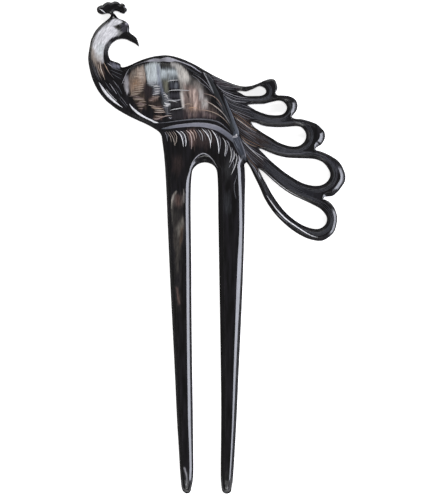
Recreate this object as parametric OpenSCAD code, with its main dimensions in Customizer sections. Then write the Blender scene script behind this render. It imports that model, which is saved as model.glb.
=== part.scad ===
// Hair fork carved from one flat plate of dark horn. A long-tailed bird stands above
// two slim prongs, and its tail ends in five open loops. Millimetres.
// The flat back lies on Z = 0, the carved face looks up, and +Y runs towards the head.
// The origin is in the bridge above the gap, halfway between the prongs.

/* [Plate] */
// Thickness of the plate at the bird's body
plate_t = 4.8; // [4:0.1:6.5]
// Width of the bevel along the carved edges
bevel_w = 1.2; // [0.6:0.1:1.8]
// Depth of the bevel where it meets the side
bevel_d = 1.1; // [0.5:0.1:1.8]
// Chamfer along the edges of the flat back
back_ease = 0.4; // [0.2:0.1:0.8]

/* [Prongs] */
// Length of the prongs, from the top of the gap to the tips
prong_len = 116; // [90:1:140]
// Width of each prong at its root
prong_w = 8.7; // [7:0.1:11]
// Width of the gap between the prongs
gap_w = 9.6; // [7:0.1:13]
// Height of solid horn from the top of the gap to the origin
bridge_h = 7; // [5:0.5:10]

/* [Bird] */
// Width from the middle of the gap to the outside of the neck
bird_w = 40.6; // [34:0.5:48]
// Height from the origin to the crown of the head
bird_h = 43.2; // [36:0.5:52]
// Rise of the wing's dome above the plate
wing_rise = 1.1; // [0.4:0.1:2]
// Diameter of the eye
eye_d = 1.5; // [0.8:0.1:2.2]

/* [Crest] */
// Width of the fan on the head
crest_w = 10.5; // [8:0.5:14]
// Height of the fan above the crown
crest_h = 6; // [4.5:0.1:8]
// Thickness of the fan
crest_t = 3.4; // [2.4:0.1:4.4]
// Width of the stalk under the fan
stalk_w = 1.1; // [0.8:0.1:2]

/* [Tail] */
// Reach from the rump to the end of the widest loop
tail_reach = 39.8; // [32:0.2:48]
// Height of the tail, from its first loop to its last
tail_h = 56.4; // [46:0.2:66]

/* [Carving] */
// Width of the raised ribs round the wing
rib_w = 1.7; // [1:0.1:2.5]
// Rise of the ribs above the plate
rib_h = 0.5; // [0.2:0.1:1]
// Length of the longest feather cut under the wing
feather_len = 7; // [4:0.5:9]
// Width of the feather cuts
cut_w = 0.5; // [0.3:0.1:0.9]
// Depth of the feather cuts
cut_d = 0.35; // [0.2:0.05:0.6]

/* [Hidden] */
horn = "#211d1c";

// Widest share of a bar's width that one bevel, or one back chamfer, may take
bevel_share = 0.4;
ease_share = 0.3;
// Points of one cross-section of a bar
bar_points = 8;
// Steps between two rows of a table
curve_steps = 3;
prong_steps = 4;
path_steps = 8;
// Degrees between the stations of a loop, a strand and the gap's arch
loop_turn = 8;
strand_turn = 14;
arch_turn = 15;
// Sides of a crest lobe, the eye and a feather cut
lobe_sides = 16;
eye_sides = 12;
cut_sides = 6;

// The neck and body, from the crown to the root of the tail. Shares of bird_w and
// bird_h for the outer or lower edge and the inner or upper edge, and of plate_t
// columns: outer x, outer y, inner x, inner y, thickness
body_rows = [
  [-0.817,  1.000, -0.746, 0.997, 0.80],
  [-0.875,  0.961, -0.677, 0.966, 0.84],
  [-0.927,  0.919, -0.646, 0.912, 0.88],
  [-0.963,  0.859, -0.668, 0.855, 0.90],
  [-0.979,  0.818, -0.763, 0.828, 0.90],
  [-0.990,  0.770, -0.823, 0.770, 0.90],
  [-1.000,  0.689, -0.825, 0.689, 0.92],
  [-0.991,  0.608, -0.780, 0.652, 0.94],
  [-0.966,  0.519, -0.722, 0.617, 0.96],
  [-0.927,  0.438, -0.668, 0.613, 1.00],
  [-0.864,  0.357, -0.599, 0.643, 1.00],
  [-0.767,  0.274, -0.513, 0.679, 1.00],
  [-0.645,  0.206, -0.427, 0.697, 1.00],
  [-0.494,  0.141, -0.341, 0.703, 1.00],
  [-0.412,  0.098, -0.237, 0.689, 1.00],
  [-0.341,  0.000, -0.125, 0.647, 1.00],
  [-0.194, -0.065,  0.004, 0.583, 1.00],
  [ 0.004, -0.089,  0.134, 0.515, 1.00],
  [ 0.203, -0.089,  0.256, 0.464, 1.00],
  [ 0.315, -0.065,  0.300, 0.449, 1.00]
];

// The shoulders over the gap's arch: their rise as a share of bridge_h, how square their
// corners are and how far the left one flares, as a share of its width
shoulder_rise = 1.3;
shoulder_square = 1.45;
shoulder_flare = 0.1;

// The hooked beak, from inside the head to its tip, in the same shares
// columns: lower x, lower y, upper x, upper y, thickness
beak_rows = [
  [-0.760, 0.833, -0.740, 0.940, 0.80],
  [-0.710, 0.833, -0.660, 0.915, 0.78],
  [-0.650, 0.823, -0.632, 0.874, 0.72],
  [-0.607, 0.806, -0.586, 0.838, 0.66],
  [-0.580, 0.788, -0.573, 0.810, 0.58],
  [-0.568, 0.774, -0.566, 0.778, 0.50]
];

// The prongs below the springing of the gap's arch. Shares of the straight length,
// of half the gap, of prong_w and of plate_t
// columns: down, left side of the gap, right side of the gap, left width, right width,
// thickness
prong_rows = [
  [0.020, 1.00, 0.98, 1.00, 1.08, 1.00],
  [0.077, 1.03, 1.00, 0.95, 1.05, 1.00],
  [0.360, 0.98, 1.12, 0.82, 0.90, 0.94],
  [0.549, 0.94, 1.19, 0.71, 0.75, 0.87],
  [0.738, 0.88, 1.23, 0.63, 0.61, 0.79],
  [0.890, 0.85, 1.20, 0.54, 0.52, 0.70],
  [0.959, 0.88, 1.21, 0.45, 0.45, 0.62],
  [0.985, 1.00, 1.28, 0.33, 0.35, 0.54],
  [1.000, 1.17, 1.42, 0.12, 0.16, 0.44]
];

// The middle of the rump, where the tail's strands start, as a share of the bird
rump = [0.230, 0.190];
// The five tail loops. Each opening and each outer edge is a drop with a pointed root.
// Shares of tail_reach in x and of tail_h in y from the rump, and of tail_h for the
// width and the bend
// columns: root x, root y, end x, end y, width, bend
opening_rows = [
  [0.040,  0.170, 0.306,  0.171, 0.058, 0.010],
  [0.136,  0.087, 0.490,  0.069, 0.094, 0.013],
  [0.168, -0.017, 0.659, -0.114, 0.128, 0.032],
  [0.230, -0.181, 0.866, -0.362, 0.168, 0.030],
  [0.232, -0.303, 0.829, -0.657, 0.151, 0.039]
];
lobe_rows = [
  [-0.142,  0.175, 0.404,  0.205, 0.121, 0.039],
  [-0.028,  0.085, 0.577,  0.069, 0.183, 0.018],
  [-0.028,  0.004, 0.817, -0.118, 0.217, 0.034],
  [ 0.042, -0.145, 0.991, -0.390, 0.288, 0.032],
  [ 0.077, -0.195, 0.901, -0.705, 0.280, 0.034]
];
// Corners of the web that joins the loops' roots, above the first and below the last
web_top = [[-0.037, 0.185], [0.074, 0.197]];
web_foot = [[0.123, -0.255], [-0.037, -0.215]];
// Turn round an opening, from its root, to the web's corners beside it
web_turn = 30;
// Turn round an opening where the strand below it starts and ends, and how far the
// strand follows the next opening for each turn round this one
strand_start = 12;
strand_end = 150;
strand_turns = [0.53, 0.69, 0.69, 0.81];
// How sharply a drop narrows towards its root, and its widest value at that power
drop_power = 2.0;
drop_peak = max([for (angle = [90:2:150]) sin(angle) * sin(angle / 2) ^ drop_power]);
// Thickness of the tail at the roots and at the ends of the loops, of plate_t
tail_root_t = 0.96;
tail_end_t = 0.82;

// The crest's lobes, as shares of crest_w in x and radius, and of crest_h in y
// columns: x, y, radius
crest_rows = [
  [-0.38, 0.62, 0.125],
  [-0.16, 0.84, 0.150],
  [ 0.12, 0.87, 0.145],
  [ 0.32, 0.76, 0.120],
  [ 0.39, 0.61, 0.105]
];
// Where the crest's stalk meets the head, and where the lobes meet above it
crest_foot = [-0.790, 0.985];
crest_hub = 0.44;

// Outline of the domed wing, in shares of bird_w and bird_h
wing_rows = [
  [-0.703, 0.470], [-0.634, 0.583], [-0.470, 0.636], [-0.280, 0.624],
  [-0.116, 0.551], [ 0.013, 0.438], [ 0.116, 0.300], [ 0.194, 0.138],
  [ 0.020, 0.160], [-0.254, 0.170], [-0.470, 0.203], [-0.625, 0.300]
];
wing_middle = [-0.297, 0.397];
// Rings of the dome, from its edge to near its top: share of the outline, of the rise
dome_rings = [[1, -0.3], [0.97, 0.06], [0.82, 0.5], [0.55, 0.82], [0.25, 0.97]];

// Raised ribs, each a path with its width as a share of rib_w
// columns: x, y, width
band_rows = [
  [-0.390,  0.120, 0.7], [-0.254,  0.130, 0.9], [-0.125, 0.138, 1.0],
  [-0.013,  0.138, 1.0], [ 0.073,  0.122, 1.1], [ 0.168, 0.077, 1.2],
  [ 0.254,  0.008, 1.5], [ 0.315, -0.070, 1.6], [ 0.345, -0.130, 1.1]
];
ridge_rows = [
  [0.004, 0.567, 0.7], [0.073, 0.462, 1.2], [0.151, 0.340, 1.4],
  [0.220, 0.219, 1.4], [0.272, 0.097, 1.3], [0.290, 0.030, 1.0]
];
rim_rows = [
  [-0.690, 0.490, 0.5], [-0.655, 0.575, 0.6], [-0.590, 0.622, 0.7], [-0.500, 0.654, 0.8],
  [-0.384, 0.667, 0.9], [-0.254, 0.657, 0.9], [-0.125, 0.612, 0.9], [-0.010, 0.551, 0.8]
];
breast_rows = [
  [-0.910, 0.500, 0.4], [-0.870, 0.420, 0.9], [-0.800, 0.345, 1.2],
  [-0.700, 0.280, 1.1], [-0.590, 0.235, 0.8], [-0.460, 0.180, 0.4]
];

// Lengths of the feather cuts that fan out below the band, as shares of feather_len
feather_rows = [0.4, 0.8, 0.85, 0.9, 1.0, 0.5, 0.5, 0.95, 0.5, 1.0, 0.4, 0.9, 0.5, 0.8];
// The stretch of the band that they cover, their lean at its start, the turn of the
// lean along it, and how far each cut bows, as a share of its length
feather_span = [0.06, 0.80];
feather_lean = -66;
feather_turn = -34;
feather_bow = 0.09;
// Radius of the sharp bottom of a cut
cut_point = 0.05;

// The eye's place, and the plate's thickness there
eye_spot = [-0.738, 0.932];
eye_t = 0.86;

function bird_point(share) = [share[0] * bird_w, share[1] * bird_h];
function tail_point(share) = bird_point(rump) + [share[0] * tail_reach, share[1] * tail_h];
function left_of(direction) = [-direction[1], direction[0]] / norm(direction);

// Smooth curve through rows of any width, open or closed
function curve_step(a, b, c, d, t) =
  (2 * b + (c - a) * t + (2 * a - 5 * b + 4 * c - d) * t ^ 2
   + (3 * b - a - 3 * c + d) * t ^ 3) / 2;
function open_curve(rows, steps) =
  let (last = len(rows) - 1)
  [for (i = [0:last - 1]) for (k = [0:steps - 1])
     curve_step(rows[max(i - 1, 0)], rows[i], rows[i + 1], rows[min(i + 2, last)], k / steps),
   rows[last]];
function closed_curve(rows, steps) =
  let (n = len(rows))
  [for (i = [0:n - 1]) for (k = [0:steps - 1])
     curve_step(rows[(i + n - 1) % n], rows[i], rows[(i + 1) % n], rows[(i + 2) % n], k / steps)];

// One cross-section of a bar, from its left edge over the top to its right edge
function bar_section(station) =
  let (left = station[0], right = station[1], top = station[2],
       width = norm(right - left), across = (right - left) / width,
       bevel = min(station[3], bevel_share * width),
       drop = bevel * bevel_d / bevel_w,
       ease = min(back_ease, ease_share * width),
       back_l = left + across * ease, face_l = left + across * bevel,
       back_r = right - across * ease, face_r = right - across * bevel)
  [[back_l[0], back_l[1], 0], [left[0], left[1], ease], [left[0], left[1], top - drop],
   [face_l[0], face_l[1], top], [face_r[0], face_r[1], top],
   [right[0], right[1], top - drop], [right[0], right[1], ease], [back_r[0], back_r[1], 0]];

// A solid bar through stations of [left edge, right edge, top, bevel]
module bar(stations, closed = false) {
  n = len(stations);
  m = bar_points;
  last = (n - 1) * m;
  sides = [for (i = [0:closed ? n - 1 : n - 2]) for (k = [0:m - 1])
    let (a = i * m + k, b = i * m + (k + 1) % m,
         c = (i + 1) % n * m + (k + 1) % m, d = (i + 1) % n * m + k)
    each [[a, d, c], [a, c, b]]];
  ends = closed ? [] : [for (k = [1:m - 2])
    each [[0, k, k + 1], [last, last + k + 1, last + k]]];
  polyhedron([for (s = stations) each bar_section(s)], concat(sides, ends), convexity = 8);
}

// A raised rib along a path of [x, y, width share]
module rib(rows) {
  path = open_curve([for (r = rows) [each bird_point(r), r[2] * rib_w]], curve_steps);
  last = len(path) - 1;
  bar([for (i = [0:last])
    let (here = [path[i][0], path[i][1]],
         ahead = path[min(i + 1, last)], behind = path[max(i - 1, 0)],
         side = left_of([ahead[0] - behind[0], ahead[1] - behind[1]]) * path[i][2] / 2)
    [here + side, here - side, plate_t + rib_h, bevel_share * path[i][2]]]);
}

// Point of a drop at an angle round it: 0 at the root, 180 at the end
function drop_point(row, angle) =
  let (root = tail_point([row[0], row[1]]), end = tail_point([row[2], row[3]]),
       along = (1 - cos(angle)) / 2,
       half = row[4] * tail_h / 2 / drop_peak,
       out = half * sin(angle) * sin(angle / 2) ^ drop_power,
       bow = row[5] * tail_h * 4 * along * (1 - along))
  root + (end - root) * along + left_of(end - root) * (out - bow);

// Thickness of the tail at an angle round a drop
function tail_t(angle) =
  plate_t * (tail_root_t + (tail_end_t - tail_root_t) * (1 - cos(angle)) / 2);

// One loop of the tail, round its opening
module tail_loop(opening, lobe) {
  bar([for (angle = [loop_turn / 2:loop_turn:360])
    [drop_point(lobe, angle), drop_point(opening, angle), tail_t(angle), bevel_w]],
    closed = true);
}

// The flat strand that two neighbouring openings leave between them
module tail_strand(above, below, turn) {
  bar([for (angle = [strand_start:strand_turn:strand_end])
    [drop_point(above, 360 - angle), drop_point(below, angle * turn), tail_t(angle), bevel_w]]);
}

// The web that joins the strands at their roots and just closes the tip of each opening
module tail_web() {
  last = len(opening_rows) - 1;
  deep = 2 * web_turn;
  rim = [for (i = [0:last])
    let (opening = opening_rows[i], next = opening_rows[min(i + 1, last)])
    each [drop_point(opening, web_turn),
          drop_point(opening, 0) + [bevel_w / 2, 0],
          drop_point(opening, 360 - web_turn),
          if (i < last) (drop_point(opening, 360 - deep) + drop_point(next, deep)) / 2]];
  linear_extrude(plate_t * tail_root_t)
    polygon(concat([for (p = web_top) tail_point(p)], rim, [for (p = web_foot) tail_point(p)]));
}

module tail() {
  last = len(opening_rows) - 1;
  for (i = [0:last]) tail_loop(opening_rows[i], lobe_rows[i]);
  for (i = [0:last - 1]) tail_strand(opening_rows[i], opening_rows[i + 1], strand_turns[i]);
  tail_web();
}

// A bar between the two edges that a table of the bird gives
module bird_bar(rows) {
  bar([for (r = open_curve(rows, curve_steps))
    [bird_point([r[2], r[3]]), bird_point([r[0], r[1]]), r[4] * plate_t, bevel_w]]);
}

module body() bird_bar(body_rows);

module beak() bird_bar(beak_rows);

// Both prongs and the arch between them, as one bent bar
module prongs() {
  half_gap = gap_w / 2;
  spring_y = -bridge_h - half_gap;
  straight = prong_len - half_gap;
  rows = open_curve(prong_rows, prong_steps);
  reach_l = half_gap + prong_rows[0][3] * prong_w;
  reach_r = half_gap + prong_rows[0][4] * prong_w;
  rise = shoulder_rise * bridge_h + half_gap;
  left = [for (i = [len(rows) - 1:-1:0])
    let (r = rows[i], x = -half_gap * r[1], y = spring_y - r[0] * straight)
    [[x - r[3] * prong_w, y], [x, y], r[5] * plate_t, bevel_w]];
  arch = [for (angle = [180:-arch_turn:0])
    let (wide = max(-1, min(1, shoulder_square * cos(angle))),
         high = min(1, shoulder_square * sin(angle)),
         x = wide < 0 ? reach_l * wide * (1 + shoulder_flare * high) : reach_r * wide)
    [[x, spring_y + rise * high],
     [half_gap * cos(angle), spring_y + half_gap * sin(angle)],
     plate_t, bevel_w * (1 + sin(angle))]];
  right = [for (r = rows)
    let (x = half_gap * r[2], y = spring_y - r[0] * straight)
    [[x + r[4] * prong_w, y], [x, y], r[5] * plate_t, bevel_w]];
  bar(concat(left, arch, right));
}

// A flat disc with a bevelled rim
module disc(radius, top) {
  rim = min(bevel_w / 2, radius / 2);
  cylinder(h = top - rim, r = radius, $fn = lobe_sides);
  cylinder(h = top, r = radius - rim, $fn = lobe_sides);
}

// The scalloped fan on the head, with its stalk
module crest() {
  foot = bird_point(crest_foot);
  hub = foot + [0, crest_hub * crest_h];
  for (r = crest_rows) hull() {
    translate(foot + [r[0] * crest_w, r[1] * crest_h]) disc(r[2] * crest_w, crest_t);
    translate(hub) disc(stalk_w / 2, crest_t);
  }
  linear_extrude(crest_t - bevel_w / 2)
    polygon([hub, for (r = crest_rows) foot + [r[0] * crest_w, r[1] * crest_h]]);
  hull() {
    translate(hub) disc(stalk_w / 2, crest_t);
    translate(foot) disc(stalk_w, crest_t);
  }
  hull() {
    translate(foot) disc(stalk_w, crest_t);
    translate(foot - [0, 2 * stalk_w]) disc(2 * stalk_w, crest_t);
  }
}

// The domed wing, as rings that shrink towards its middle
module wing() {
  outline = closed_curve([for (r = wing_rows) bird_point(r)], curve_steps);
  middle = bird_point(wing_middle);
  n = len(outline);
  rings = len(dome_rings);
  points = [for (ring = dome_rings) for (p = outline)
    [each (middle + (p - middle) * ring[0]), plate_t + ring[1] * wing_rise]];
  sides = [for (i = [0:rings - 2]) for (k = [0:n - 1])
    let (a = i * n + k, b = i * n + (k + 1) % n)
    each [[a, b, b + n], [a, b + n, a + n]]];
  top = rings * n;
  base = top + 1;
  caps = [for (k = [0:n - 1])
    each [[(rings - 1) * n + k, (rings - 1) * n + (k + 1) % n, top], [base, (k + 1) % n, k]]];
  polyhedron(concat(points, [[each middle, plate_t + wing_rise], [each middle, plate_t / 2]]),
             concat(sides, caps), convexity = 4);
}

// One tapered cut, sunk into the face from one point to another
module cut(from, to, bow) {
  middle = (from + to) / 2 + left_of(to - from) * norm(to - from) * bow;
  for (end = [from, to]) hull() {
    translate([each middle, plate_t - cut_d])
      cylinder(h = 2 * cut_d, r1 = cut_point, r2 = cut_w, $fn = cut_sides);
    translate([each end, plate_t - cut_d / 4])
      cylinder(h = cut_d, r1 = cut_point, r2 = cut_w / 2, $fn = cut_sides);
  }
}

// Feather cuts that hang from the lower edge of the band
module feather_cuts() {
  path = open_curve([for (r = band_rows) bird_point(r)], path_steps);
  count = len(feather_rows);
  for (i = [0:count - 1]) {
    share = i / (count - 1);
    along = feather_span[0] + (feather_span[1] - feather_span[0]) * share;
    spot = path[round(along * (len(path) - 1))];
    lean = feather_lean + feather_turn * share;
    reach = feather_len * feather_rows[i];
    toward = [cos(lean), sin(lean)];
    cut(spot + toward * rib_w, spot + toward * (rib_w + reach), feather_bow);
  }
}

// The eye, a shallow pit with sloping sides
module eye_cut() {
  translate([each bird_point(eye_spot), eye_t * plate_t - cut_d])
    cylinder(h = 2 * cut_d, r1 = eye_d / 4, r2 = eye_d * 3 / 4, $fn = eye_sides);
}

module horn_fork() {
  color(horn) difference() {
    union() {
      prongs();
      body();
      beak();
      crest();
      tail();
      wing();
      for (rows = [band_rows, ridge_rows, rim_rows, breast_rows]) rib(rows);
    }
    feather_cuts();
    eye_cut();
  }
}

horn_fork();
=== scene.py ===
import math

import bpy
import numpy as np
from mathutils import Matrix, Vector
from mathutils.geometry import delaunay_2d_cdt
from mathutils.kdtree import KDTree


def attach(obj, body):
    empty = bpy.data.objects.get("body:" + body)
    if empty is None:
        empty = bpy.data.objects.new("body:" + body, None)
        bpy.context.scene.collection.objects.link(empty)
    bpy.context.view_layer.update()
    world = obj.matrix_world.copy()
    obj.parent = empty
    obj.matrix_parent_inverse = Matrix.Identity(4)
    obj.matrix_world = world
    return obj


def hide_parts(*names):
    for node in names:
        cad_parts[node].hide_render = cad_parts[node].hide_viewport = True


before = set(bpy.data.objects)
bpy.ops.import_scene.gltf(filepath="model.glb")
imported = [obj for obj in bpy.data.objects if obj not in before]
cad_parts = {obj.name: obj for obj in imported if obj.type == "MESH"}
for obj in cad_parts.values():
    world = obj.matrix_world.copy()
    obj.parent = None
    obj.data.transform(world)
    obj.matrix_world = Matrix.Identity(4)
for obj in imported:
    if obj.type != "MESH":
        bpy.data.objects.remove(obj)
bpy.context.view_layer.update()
mm = 0.001


def toLinear(hexColour, alpha=1.0):
    # an sRGB hex colour as linear values
    value = hexColour.lstrip("#")
    parts = [int(value[i:i + 2], 16) / 255 for i in (0, 2, 4)]
    linear = [c / 12.92 if c <= 0.04045 else ((c + 0.055) / 1.055) ** 2.4 for c in parts]
    return (*linear, alpha)


def smoothStep(low, high, value):
    t = np.clip((value - low) / (high - low), 0.0, 1.0)
    return t * t * (3.0 - 2.0 * t)


def smoothPath(points, step):
    # centripetal curve through the points, sampled about every step; extra columns ride along
    rows = [np.array(p, float) for p in points]
    rows = [2 * rows[0] - rows[1]] + rows + [2 * rows[-1] - rows[-2]]
    path = []
    for a, b, c, d in zip(rows, rows[1:], rows[2:], rows[3:]):
        gaps = [max(np.linalg.norm((q - p)[:2]), 1e-6) ** 0.5 for p, q in ((a, b), (b, c), (c, d))]
        t0, t1 = 0.0, gaps[0]
        t2, t3 = t1 + gaps[1], t1 + gaps[1] + gaps[2]
        count = max(1, math.ceil(np.linalg.norm((c - b)[:2]) / step))
        for k in range(count):
            t = t1 + (t2 - t1) * k / count
            ab = ((t1 - t) * a + (t - t0) * b) / (t1 - t0)
            bc = ((t2 - t) * b + (t - t1) * c) / (t2 - t1)
            cd = ((t3 - t) * c + (t - t2) * d) / (t3 - t2)
            abc = ((t2 - t) * ab + (t - t0) * bc) / (t2 - t0)
            bcd = ((t3 - t) * bc + (t - t1) * cd) / (t3 - t1)
            path.append(((t2 - t) * abc + (t - t1) * bcd) / (t2 - t1))
    path.append(rows[-2])
    return np.array(path)


def addNode(tree, kind, settings=None, links=None):
    # adds a node, sets its properties and sockets, and links sockets into it
    node = tree.nodes.new(kind)
    for name, value in (settings or {}).items():
        if isinstance(name, str) and hasattr(node, name):
            setattr(node, name, value)
        else:
            node.inputs[name].default_value = value
    for name, socket in (links or {}).items():
        tree.links.new(socket, node.inputs[name])
    return node


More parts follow.
